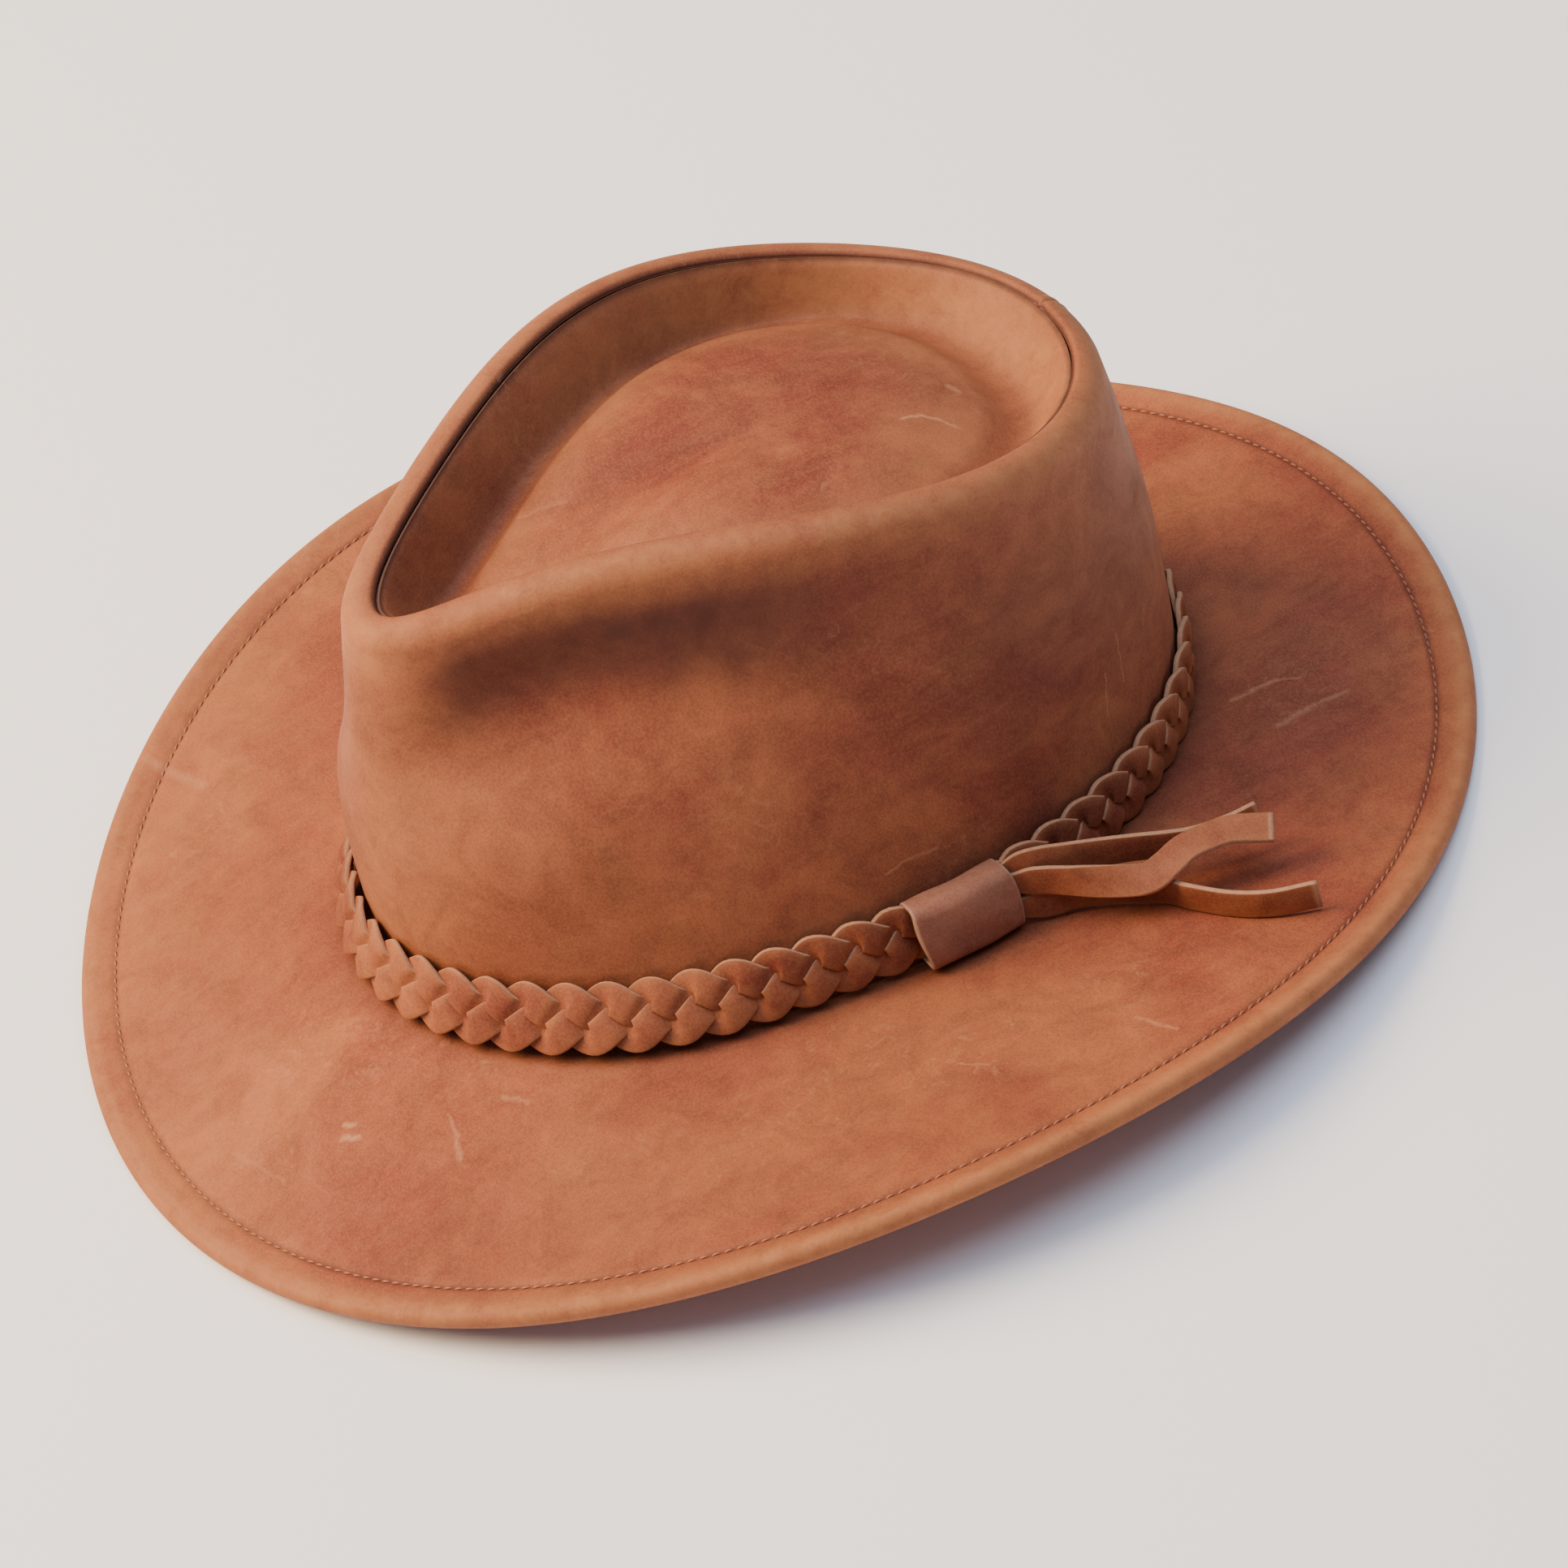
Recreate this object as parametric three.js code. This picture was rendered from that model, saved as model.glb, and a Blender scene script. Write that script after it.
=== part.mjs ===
// A leather hat with a teardrop crown, a wide shaped brim and a three-strand braided band.
// Millimetres, +Z up. The hat stands on a surface, its front is -Y and the wearer's left is +X.
// The origin is under the middle of the brim.
import * as THREE from 'three';

// Brim
const brimHalfWidth = 166;
const brimHalfLength = 176.3;
const brimThickness = 2.6;
const beadRadius = 2.4;
const brimSideLift = 22.9;
const brimCurl = 1.3;

// Crown foot, where the crown stands on the brim
const footHalfWidth = 81;
const footHalfLength = 104.5;
const footSetBack = 5.2;
const footHeight = 13.1;
const footTilt = 4.9;

// Crown wall and its rolled rim
const wallThickness = 2;
const crestHalfWidth = 61.7;
const crestHalfLength = 89.6;
const crestSetBack = 14.4;
const crestHeight = 122.4;
const crestLean = 0.8;
const rimRadius = 6.5;
const rimStartAngle = 12;
const rimEndAngle = 122;
const dentDepth = 13.5;
const wallFullness = 5;

// Sunken top panel
const topThickness = 2;
const dishDepth = 19.6;
const domeRise = 11;
const domeSetBack = 27;
const domeSink = 0.425;

// Braided band
const strandWidth = 5.6;
const strandThickness = 1.05;
const braidSwing = 4.7;
const braidWeave = 2.3;
const braidPitch = 30.5;
const braidClear = 0.8;
const braidLead = 10;

// Keeper, the wrapped leather loop that holds the strand ends
const keeperLength = 25;
const keeperWall = 1.2;
const keeperInnerHalfHeight = 7.8;
const keeperInnerHalfDepth = 2.95;
const keeperCornerRadius = 0.5;
const keeperAngle = 92.5;
const keeperShift = 0.8;
const keptStrandWidth = 5;
const startStrandWidth = 3.6;
const tuckLength = 6;

// Space left between two pieces that touch
const seatGap = 0.3;

// Shares of brimSideLift that the middle of the edge bead stands above the ground, and shares of
// the crown sizes. Each list has a value every 30 degrees from the front (0) to the back (180).
const edgeLiftShares = [0.074, 0.332, 0.89, 1, 0.38, 0.083, 0.227];
const crestSpreadShares = [0.507, 0.507, 0.649, 0.927, 1.076, 1.139, 1.17];
const crestHeightShares = [0.919, 0.95, 1, 0.979, 0.877, 0.797, 0.777];
const fullnessShares = [1, 1, 0.6, 0.2, 0.2, 0.5, 0.6];
const rimEndShares = [1, 1, 1, 1, 0.92, 0.8, 0.72];
const dishDepthShares = [0.675, 0.845, 0.92, 1, 0.79, 0.6, 0.53];
const valleyShares = [0.096, 0.116, 0.14, 0.126, 0.11, 0.152, 0.2];

// Where the pinch of the front quarters is deepest: degrees from the front and share of the wall.
const dentAngle = 42;
const dentSpread = 25;
const dentShare = 0.79;
const dentShareSpread = 0.17;

// How sharply a strand folds over at the braid's edge, and how flat it lies over its neighbour.
const foldSharpness = 0.11;
const foldFlatness = 0.13;

// How far along the wall, the dish and the brim the sections are cut, as shares.
const wallCuts = [0, 0.14, 0.3, 0.46, 0.58, 0.68, 0.78, 0.89, 1];
const valleyCuts = [0, 0.25, 0.6, 1];
const domeCuts = [0.93, 0.84, 0.68, 0.4];
const brimCuts = [0, 0.25, 0.55, 0.82, 0.955];
const beadAngles = [150, 100, 55, 10, -35, -80, -125];

// How many sections go round the hat, and along each part of the band.
const hatSections = 48;
const cutsPerPitch = 12;
const tailCuts = 3;
const keeperCuts = 5;
const rimCuts = 4;

// Where the three free ends run after the keeper. Columns: along the band, out from the crown,
// up, and degrees by which the outer face has turned up.
const tails = {
  upper: [[6, 4.2, 6.4, 8], [14.8, 8.2, 4.2, 6], [26.5, 13.4, 0.9, 0], [39, 20.5, -2.1, 0],
    [48.1, 23.7, -3.1, 0], [55.4, 25.8, -3.1, 4]],
  middle: [[6.1, 7.2, 1, 4], [10.9, 12.8, 0.8, 14], [17.3, 19, 0, 38], [23.3, 24.2, 0, 62],
    [28.5, 25.2, 1, 74], [34.2, 25.4, 2, 78], [39.7, 26.8, 2, 80], [45.7, 29.2, 1.5, 78],
    [52.9, 35, 0, 74]],
  lower: [[7, 7, -5, 8], [13, 10, -5.2, 5], [20, 16.4, -5.8, 2], [26.4, 24.6, -6, 0],
    [29.1, 31.6, -6, 0], [33.6, 40.9, -6, 0], [39.6, 48.3, -6, 0], [48.4, 54.5, -6, 0]],
};

const colours = {
  crown: 0x9c5638,
  panel: 0xa35c3b,
  brim: 0xa9603f,
  braid: 0xa05a3a,
  keeper: 0x8f4c33,
};

const turn = Math.PI * 2;
const radians = (degrees) => degrees * Math.PI / 180;
const mix = (a, b, share) => a + (b - a) * share;
const clamp01 = (share) => Math.min(1, Math.max(0, share));
const ease = (share) => clamp01(share) ** 2 * (3 - 2 * clamp01(share));
const bump = (value, middle, spread) => Math.exp(-(((value - middle) / spread) ** 2));

// A smooth curve round the hat through values at equal angles from the front to the back.
function aroundHat(values) {
  const last = values.length - 1;
  const weigh = (i) => (i === 0 || i === last ? 0.5 : 1);
  const waves = values.map((_, j) => values.reduce(
    (sum, value, i) => sum + weigh(i) * value * Math.cos(Math.PI * i * j / last), 0) * 2 / last);
  return (angle) => waves.reduce((sum, wave, j) => sum + weigh(j) * wave * Math.cos(j * angle), 0);
}

const edgeLift = aroundHat(edgeLiftShares);
const crestSpread = aroundHat(crestSpreadShares);
const crestLift = aroundHat(crestHeightShares);
const fullness = aroundHat(fullnessShares);
const rimEnd = aroundHat(rimEndShares);
const dishSink = aroundHat(dishDepthShares);
const valleyShare = aroundHat(valleyShares);

// Height of the brim's top face where the crown stands on it, which falls towards the back.
const footTop = (y) => footHeight - Math.sin(radians(footTilt)) * (y - footSetBack);

// A point on the oval of the crown's foot, grown outward by a distance.
function footOval(angle, grow) {
  const x = (footHalfWidth + grow) * Math.sin(angle);
  const y = footSetBack - (footHalfLength + grow) * Math.cos(angle);
  return new THREE.Vector3(x, y, footTop(y));
}

// The middle line of the rolled rim, which stands a little higher on the wearer's right.
function crestPoint(angle) {
  return new THREE.Vector3(
    crestHalfWidth * crestSpread(angle) * Math.sin(angle),
    crestSetBack - crestHalfLength * Math.cos(angle),
    crestHeight * crestLift(angle) - crestLean * Math.sin(angle),
  );
}

// The level direction that points out of a closed line round the hat.
function outwardOf(line, angle) {
  const step = 0.01;
  const along = line(angle + step).sub(line(angle - step));
  return new THREE.Vector3(along.y, -along.x, 0).normalize();
}

// A closed body from a grid of points. Each row is a section, the columns close on themselves,
// and the rows either close as a ring or end in flat caps or in poles.
function bodyFromRows(rows, ends) {
  const width = rows[0].length;
  const points = rows.flat();
  const faces = [];
  const lastRow = ends.ring ? rows.length : rows.length - 1;
  for (let i = 0; i < lastRow; i += 1) {
    for (let j = 0; j < width; j += 1) {
      const a = i * width + j;
      const b = i * width + (j + 1) % width;
      const c = ((i + 1) % rows.length) * width + (j + 1) % width;
      const d = ((i + 1) % rows.length) * width + j;
      faces.push([a, b, c], [a, c, d]);
    }
  }
  if (!ends.ring) {
    const first = points.push(ends.first) - 1;
    const last = points.push(ends.last) - 1;
    const base = (rows.length - 1) * width;
    for (let j = 0; j < width; j += 1) {
      const next = (j + 1) % width;
      faces.push([next, j, first], [base + j, base + next, last]);
    }
  }
  return orientedBody(points, faces);
}

// Turns the faces so that they all point out of the body.
function orientedBody(points, faces) {
  const volume = faces.reduce((sum, [a, b, c]) => (
    sum + points[a].dot(new THREE.Vector3().crossVectors(points[b], points[c]))), 0);
  const order = volume > 0 ? faces : faces.map(([a, b, c]) => [a, c, b]);
  const geometry = new THREE.BufferGeometry();
  geometry.setAttribute('position', new THREE.Float32BufferAttribute(
    points.flatMap((point) => [point.x, point.y, point.z]), 3));
  geometry.setIndex(order.flat());
  geometry.computeVertexNormals();
  return geometry;
}

const middleOf = (points) => points.reduce(
  (sum, point) => sum.add(point), new THREE.Vector3()).divideScalar(points.length);

// The brim: one shaped sheet with a bead round its edge, flattened where it meets the ground.
function brimGeometry() {
  const rows = [];
  for (let i = 0; i < hatSections; i += 1) {
    const angle = turn * i / hatSections;
    const inner = footOval(angle, -wallThickness);
    const outward = new THREE.Vector3(Math.sin(angle) / brimHalfWidth,
      -Math.cos(angle) / brimHalfLength, 0).normalize();
    const edge = new THREE.Vector3(
      (brimHalfWidth - beadRadius) * Math.sin(angle),
      -(brimHalfLength - beadRadius) * Math.cos(angle),
      brimSideLift * edgeLift(angle),
    );
    const innerMiddle = inner.z - brimThickness / 2;
    const sheet = (share, side) => new THREE.Vector3(
      mix(inner.x, edge.x, share),
      mix(inner.y, edge.y, share),
      mix(innerMiddle, edge.z, share ** brimCurl) + side * brimThickness / 2,
    );
    const bead = beadAngles.map(radians).map((around) => edge.clone()
      .addScaledVector(outward, beadRadius * Math.cos(around))
      .add(new THREE.Vector3(0, 0, beadRadius * Math.sin(around))));
    const section = [
      ...brimCuts.map((share) => sheet(share, 1)),
      ...bead,
      ...[...brimCuts].reverse().map((share) => sheet(share, -1)),
    ];
    section.forEach((point) => point.setZ(Math.max(0, point.z)));
    rows.push(section);
  }
  return bodyFromRows(rows, { ring: true });
}

// A point of the rolled rim's round section, at a distance from its middle line. The rolled rim
// and the wall stand a seat's gap above the brim.
function rimPoint(angle, degrees, radius) {
  return crestPoint(angle)
    .addScaledVector(outwardOf(crestPoint, angle), radius * Math.cos(radians(degrees)))
    .add(new THREE.Vector3(0, 0, seatGap + radius * Math.sin(radians(degrees))));
}

// The rolled rim's line at one angle, from the top of the wall over to the seam.
function rimLine(angle, radius) {
  const line = [];
  for (let i = 0; i <= rimCuts; i += 1) {
    line.push(rimPoint(angle, mix(rimStartAngle, rimEndAngle * rimEnd(angle), i / rimCuts), radius));
  }
  return line;
}

// The outer line of the crown's wall at one angle, from the foot up to the rolled rim.
function wallLine(angle) {
  const foot = footOval(angle, 0);
  foot.z += seatGap;
  const outward = outwardOf(crestPoint, angle);
  const top = rimPoint(angle, rimStartAngle, rimRadius);
  const fromFront = Math.abs(((angle * 180 / Math.PI + 180) % 360) - 180);
  return wallCuts.map((share) => {
    const point = foot.clone().lerp(top, share);
    const full = wallFullness * fullness(angle) * Math.sin(Math.PI * share);
    const dent = dentDepth * bump(fromFront, dentAngle, dentSpread)
      * bump(share, dentShare, dentShareSpread) * Math.sin(Math.PI * share) ** 0.5;
    return point.addScaledVector(outward, full - dent);
  });
}

// A line set back by a distance, square to itself, within the upright plane of its section.
function setBack(line, outward, distance) {
  return line.map((point, i) => {
    const before = line[Math.max(0, i - 1)];
    const after = line[Math.min(line.length - 1, i + 1)];
    const rise = after.z - before.z;
    const run = after.clone().sub(before).dot(outward);
    const length = Math.hypot(rise, run);
    const level = i === 0 ? 0 : run * distance / length;
    const inward = i === 0 ? distance : rise * distance / length;
    return point.clone()
      .addScaledVector(outward, -inward)
      .add(new THREE.Vector3(0, 0, level));
  });
}

function crownSideGeometry() {
  const rows = [];
  for (let i = 0; i < hatSections; i += 1) {
    const angle = turn * i / hatSections;
    const wall = wallLine(angle);
    const outer = [...wall.slice(0, -1), ...rimLine(angle, rimRadius)];
    const lining = setBack(wall, outwardOf(crestPoint, angle), wallThickness);
    const inner = [...lining.slice(0, -1), ...rimLine(angle, rimRadius - wallThickness)];
    rows.push([...outer, ...inner.reverse()]);
  }
  return bodyFromRows(rows, { ring: true });
}

// Where the sunken top meets the rolled rim's end, at a distance from the rim's middle line.
function dishEdge(angle, radius) {
  const degrees = rimEndAngle * rimEnd(angle);
  const end = radians(degrees);
  return rimPoint(angle, degrees, radius)
    .addScaledVector(outwardOf(crestPoint, angle), -seatGap * Math.sin(end))
    .add(new THREE.Vector3(0, 0, seatGap * Math.cos(end)));
}

// The upper face of the sunken top: a wall down from the rim to a valley, then a low dome.
function dishPoint(angle, share) {
  const start = dishEdge(angle, rimRadius);
  const middle = new THREE.Vector3(0, domeSetBack, 0);
  const point = start.clone().lerp(middle, share);
  const valley = valleyShare(angle);
  const floor = start.z - dishDepth * dishSink(angle);
  const level = (crestPoint(Math.PI / 3).z + crestPoint(Math.PI).z) / 2 - dishDepth * domeSink;
  const down = clamp01(share / valley);
  const fall = mix((1 - Math.cos(Math.PI * down)) / 2, 1 - (1 - down) ** 2, 0.4);
  const inside = clamp01((share - valley) / (1 - valley));
  const dome = domeRise * (1 - (1 - inside) ** 4) * ease(inside * 6);
  const height = share < valley
    ? mix(start.z, floor, fall)
    : mix(floor, level, inside) + dome;
  return point.setZ(height);
}

function crownTopGeometry() {
  const centre = dishPoint(0, 1);
  const down = new THREE.Vector3(0, 0, -topThickness);
  const step = 0.02;
  const upper = [];
  const lower = [];
  for (let i = 0; i < hatSections; i += 1) {
    const angle = turn * i / hatSections;
    const valley = valleyShare(angle);
    const shares = [
      ...valleyCuts.map((cut) => cut * valley),
      ...domeCuts.map((cut) => mix(1, valley, cut)),
    ];
    upper.push(shares.map((share) => dishPoint(angle, share)));
    lower.push(shares.map((share) => {
      const along = dishPoint(angle + step, share).sub(dishPoint(angle - step, share));
      const inward = dishPoint(angle, share + step).sub(dishPoint(angle, Math.max(0, share - step)));
      const normal = new THREE.Vector3().crossVectors(along, inward).normalize();
      const side = normal.z > 0 ? -1 : 1;
      return share === 0
        ? dishEdge(angle, rimRadius - topThickness)
        : dishPoint(angle, share).addScaledVector(normal, side * topThickness);
    }));
  }
  const ring = (grid, k) => grid.map((line) => line[k]);
  const count = upper[0].length;
  const rows = [];
  for (let k = count - 1; k >= 0; k -= 1) {
    rows.push(ring(upper, k));
  }
  for (let k = 0; k < count; k += 1) {
    rows.push(ring(lower, k));
  }
  return bodyFromRows(rows, { first: centre, last: centre.clone().add(down) });
}

// The band's directions at an angle: level out of the crown, and across and out of the band,
// which leans with the lowest part of the wall.
function bandDirections(angle) {
  const foot = (around) => footOval(around, 0);
  const level = outwardOf(foot, angle);
  const wall = wallLine(angle);
  const rise = wall[1].clone().sub(wall[0]);
  const lean = Math.atan2(-rise.dot(level), rise.z);
  const up = new THREE.Vector3(0, 0, 1);
  const across = up.clone().multiplyScalar(Math.cos(lean)).addScaledVector(level, -Math.sin(lean));
  const out = level.clone().multiplyScalar(Math.cos(lean)).addScaledVector(up, Math.sin(lean));
  return { level, lean, across, out };
}

// The line that the middle of the band follows, as high as the keeper needs to clear the brim.
function bandPoint(angle) {
  const { lean, across, out } = bandDirections(angle);
  const halfHeight = keeperInnerHalfHeight + keeperWall;
  const halfDepth = keeperInnerHalfDepth + keeperWall;
  const lift = seatGap / Math.cos(lean) + halfHeight + halfDepth * Math.tan(Math.abs(lean));
  return footOval(angle, 0)
    .addScaledVector(across, lift)
    .addScaledVector(out, braidWeave + strandThickness / 2 + braidClear);
}

// Lengths along the band's line from the keeper's middle, twice round.
const ovalSteps = 360;
const ovalLengths = [0];
let lastPoint = bandPoint(radians(keeperAngle));
for (let i = 1; i <= ovalSteps * 2; i += 1) {
  const here = bandPoint(radians(keeperAngle) + turn * i / ovalSteps);
  ovalLengths.push(ovalLengths[i - 1] + here.distanceTo(lastPoint));
  lastPoint = here;
}
const bandLength = ovalLengths[ovalSteps];

function ovalAngle(length) {
  const shifted = length < 0 ? length + bandLength : length;
  let low = 0;
  let high = ovalLengths.length - 1;
  while (high - low > 1) {
    const half = (low + high) >> 1;
    if (ovalLengths[half] <= shifted) {
      low = half;
    } else {
      high = half;
    }
  }
  const share = (shifted - ovalLengths[low]) / (ovalLengths[high] - ovalLengths[low]);
  return radians(keeperAngle) + turn * (low + share) / ovalSteps;
}

// The band's directions at a length: along it, up across it and out from the crown.
function bandFrame(length) {
  const angle = ovalAngle(length);
  const { level, lean, across, out } = bandDirections(angle);
  const along = new THREE.Vector3(-level.y, level.x, 0);
  return { origin: bandPoint(angle), along, across, out, level, lean };
}

function onBand(length, across, out) {
  const frame = bandFrame(length);
  return frame.origin.addScaledVector(frame.across, across).addScaledVector(frame.out, out);
}

const mouth = keeperLength / 2;
const braidedLength = bandLength - keeperLength - braidLead;
const pitches = Math.round(braidedLength / braidPitch);
const phasePerLength = turn * pitches / braidedLength;

// How far the braid has turned after a length from the keeper, slower within the lead.
function braidPhase(length) {
  const total = turn * pitches;
  const fromStart = length - mouth;
  const fromEnd = bandLength - mouth - length;
  if (fromStart < braidLead) {
    return phasePerLength * Math.max(0, fromStart) ** 2 / (2 * braidLead);
  }
  if (fromEnd < braidLead) {
    return total - phasePerLength * Math.max(0, fromEnd) ** 2 / (2 * braidLead);
  }
  return phasePerLength * (fromStart - braidLead / 2);
}

// Layers inside the keeper: the tucked starts lie nearest the crown, the leaving ends outside.
const layerStep = strandThickness + 2 * seatGap;
const keptSeats = {
  upper: { order: 2, across: 4.9, layer: 0 },
  middle: { order: 0, across: 1.2, layer: 1 },
  lower: { order: 1, across: -4.9, layer: 1 },
};

// One strand's place in the band: across, out and its width.
function strandPlace(seat, length) {
  const phase = Math.PI + turn * seat.order / 3 + braidPhase(length);
  const weave = -braidWeave * (Math.sin(2 * phase) - foldFlatness * Math.sin(4 * phase));
  const swing = braidSwing * (Math.sin(phase) - foldSharpness * Math.sin(3 * phase));
  const fromStart = length - mouth;
  const fromEnd = bandLength - mouth - length;
  const lifted = mix(-layerStep, weave, ease(fromStart / (braidLead / 2)));
  const kept = ease(-fromEnd / keeperLength);
  const shift = keeperShift * (1 - ease(Math.min(fromStart, fromEnd) / braidLead));
  const narrowStart = mix(startStrandWidth, strandWidth, ease(fromStart / braidLead - 0.5));
  const narrowEnd = mix(keptStrandWidth, strandWidth, ease(fromEnd / braidLead));
  return {
    across: mix(swing, seat.across, kept),
    out: mix(lifted, seat.layer * layerStep, kept) + shift,
    width: Math.min(narrowStart, narrowEnd),
  };
}

// The four corners of a strand's section at a length of the band.
function strandSection(seat, length) {
  const step = 0.2;
  const here = strandPlace(seat, length);
  const slope = (strandPlace(seat, length + step).across
    - strandPlace(seat, length - step).across) / (2 * step);
  const scale = here.width / 2 / Math.hypot(1, slope);
  const corner = (side, face) => onBand(
    length - side * slope * scale,
    here.across + side * scale,
    here.out + face * strandThickness / 2,
  );
  return [corner(1, 1), corner(-1, 1), corner(-1, -1), corner(1, -1)];
}

// The free end of a strand, which leaves the keeper and follows its tail's points.
function tailSections(seat, rows) {
  const exit = strandPlace(seat, bandLength + mouth);
  const frame = bandFrame(bandLength + mouth);
  const start = onBand(bandLength + mouth, exit.across, exit.out);
  const place = ([along, out, up]) => frame.origin.clone()
    .addScaledVector(frame.along, along)
    .addScaledVector(frame.level, out)
    .add(new THREE.Vector3(0, 0, up));
  const before = onBand(bandLength + mouth - braidLead / 2, exit.across, exit.out);
  const route = new THREE.CatmullRomCurve3([before, start, ...rows.map(place)]);
  const lean = THREE.MathUtils.radToDeg(frame.lean);
  const turns = [lean, lean, ...rows.map((row) => row[3])];
  const sections = [];
  const spans = route.points.length - 1;
  for (let i = tailCuts; i <= spans * tailCuts; i += 1) {
    const share = i / (spans * tailCuts);
    const point = route.getPoint(share);
    const along = route.getTangent(share);
    const k = Math.min(spans - 1, Math.floor(share * spans));
    const lie = radians(mix(turns[k], turns[k + 1], ease(share * spans - k)));
    const level = new THREE.Vector3(along.y, -along.x, 0).normalize();
    const across = new THREE.Vector3(0, 0, Math.cos(lie)).addScaledVector(level, -Math.sin(lie));
    across.addScaledVector(along, -across.dot(along)).normalize();
    const face = new THREE.Vector3().crossVectors(along, across).normalize();
    const width = mix(keptStrandWidth, strandWidth, ease((i - tailCuts) / (2 * tailCuts)));
    const corner = (side, out) => point.clone()
      .addScaledVector(across, side * width / 2)
      .addScaledVector(face, out * strandThickness / 2);
    sections.push([corner(1, 1), corner(-1, 1), corner(-1, -1), corner(1, -1)]);
  }
  return sections;
}

function strandGeometry(seat, rows) {
  const lengths = [];
  const steps = pitches * cutsPerPitch;
  for (let length = mouth - tuckLength; length < mouth + braidLead; length += braidLead / 5) {
    lengths.push(length);
  }
  const braidStart = mouth + braidLead;
  const braidEnd = bandLength - mouth - braidLead;
  for (let i = 0; i <= steps; i += 1) {
    lengths.push(mix(braidStart, braidEnd, i / steps));
  }
  for (let length = braidEnd + braidLead / 5; length < bandLength + mouth; length += keeperLength / 8) {
    lengths.push(length);
  }
  const sections = [
    ...lengths.map((length) => strandSection(seat, length)),
    ...tailSections(seat, rows),
  ];
  return bodyFromRows(sections, {
    first: middleOf(sections[0]),
    last: middleOf(sections[sections.length - 1]),
  });
}

// The keeper: a strip of leather wrapped round the band into a flat sleeve.
function keeperGeometry() {
  const corners = [[1, 1, 0], [-1, 1, 90], [-1, -1, 180], [1, -1, 270]];
  const loop = (grow) => corners.flatMap(([across, out, start]) => [0, 45, 90].map((further) => {
    const radius = keeperCornerRadius + grow;
    const around = radians(start + further);
    return [
      across * (keeperInnerHalfHeight - keeperCornerRadius) + radius * Math.cos(around),
      out * (keeperInnerHalfDepth - keeperCornerRadius) + radius * Math.sin(around),
    ];
  }));
  const inner = loop(0);
  const outer = loop(keeperWall);
  const lengths = [];
  for (let i = 0; i <= keeperCuts; i += 1) {
    lengths.push(mix(-mouth, mouth, i / keeperCuts));
  }
  const rows = inner.map((_, j) => [
    ...lengths.map((length) => onBand(length, outer[j][0], outer[j][1] + keeperShift)),
    ...[...lengths].reverse().map((length) => onBand(length, inner[j][0], inner[j][1] + keeperShift)),
  ]);
  return bodyFromRows(rows, { ring: true });
}

// Puts a named piece on the hat in its own leather.
function addPiece(hat, name, geometry, colour, roughness) {
  const leather = new THREE.MeshStandardMaterial({ color: colour, roughness, metalness: 0 });
  const piece = new THREE.Mesh(geometry, leather);
  piece.name = name;
  hat.add(piece);
}

const hat = new THREE.Group();
addPiece(hat, 'brim', brimGeometry(), colours.brim, 0.75);
addPiece(hat, 'crown_side', crownSideGeometry(), colours.crown, 0.7);
addPiece(hat, 'crown_top', crownTopGeometry(), colours.panel, 0.7);
Object.keys(keptSeats).forEach((tail, i) => {
  addPiece(hat, `braid_strand_${i + 1}`, strandGeometry(keptSeats[tail], tails[tail]), colours.braid, 0.72);
});
addPiece(hat, 'keeper', keeperGeometry(), colours.keeper, 0.65);

export default hat;
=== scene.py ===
import math
import bpy
import numpy as np
from mathutils import Matrix, Vector


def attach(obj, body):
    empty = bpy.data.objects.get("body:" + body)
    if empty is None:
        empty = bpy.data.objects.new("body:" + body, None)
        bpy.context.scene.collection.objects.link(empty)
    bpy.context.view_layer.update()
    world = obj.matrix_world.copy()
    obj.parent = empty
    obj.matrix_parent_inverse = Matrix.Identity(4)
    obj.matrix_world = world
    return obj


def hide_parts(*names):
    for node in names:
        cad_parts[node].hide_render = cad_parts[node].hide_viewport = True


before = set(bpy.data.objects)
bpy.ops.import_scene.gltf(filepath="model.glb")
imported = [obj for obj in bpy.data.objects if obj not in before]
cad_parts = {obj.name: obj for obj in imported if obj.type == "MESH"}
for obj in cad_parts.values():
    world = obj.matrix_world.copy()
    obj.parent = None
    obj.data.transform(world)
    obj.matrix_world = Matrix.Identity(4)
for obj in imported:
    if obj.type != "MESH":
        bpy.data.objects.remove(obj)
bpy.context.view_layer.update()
mm = 0.001
turn = 2 * math.pi

# camera
# The photograph's viewpoint: front quarter from the wearer's left, looking down at 39 degrees.
viewpoint = {
    "place": (0.9539, -0.3110, 0.8540),
    "right": (0.49137, 0.83699, -0.24083),
    "up": (-0.47937, 0.49077, 0.72757),
    "lens": 123.96,
    "sensor": 36.0,
    "farthest": 20.0,
}


def makeCamera():
    right = Vector(viewpoint["right"]).normalized()
    up = Vector(viewpoint["up"])
    up = (up - right * up.dot(right)).normalized()
    back = right.cross(up)
    lensData = bpy.data.cameras.new("photoCamera")
    lensData.lens = viewpoint["lens"]
    lensData.sensor_width = viewpoint["sensor"]
    lensData.clip_end = viewpoint["farthest"]
    camera = bpy.data.objects.new("photoCamera", lensData)
    camera.matrix_world = Matrix((
        (right.x, up.x, back.x, viewpoint["place"][0]),
        (right.y, up.y, back.y, viewpoint["place"][1]),
        (right.z, up.z, back.z, viewpoint["place"][2]),
        (0, 0, 0, 1)))
    bpy.context.scene.collection.objects.link(camera)
    bpy.context.scene.camera = camera


makeCamera()
print("camera set at the photograph's viewpoint")


# shape helpers, in millimetres
def smoothStep(share):
    share = np.clip(share, 0, 1)
    return share * share * (3 - 2 * share)


def ramp(value, start, run):
    # 0 up to the start, then softly up to 1 over the run
    return smoothStep((value - start) / run)


def mix(a, b, share):
    return a + (b - a) * share


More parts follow.
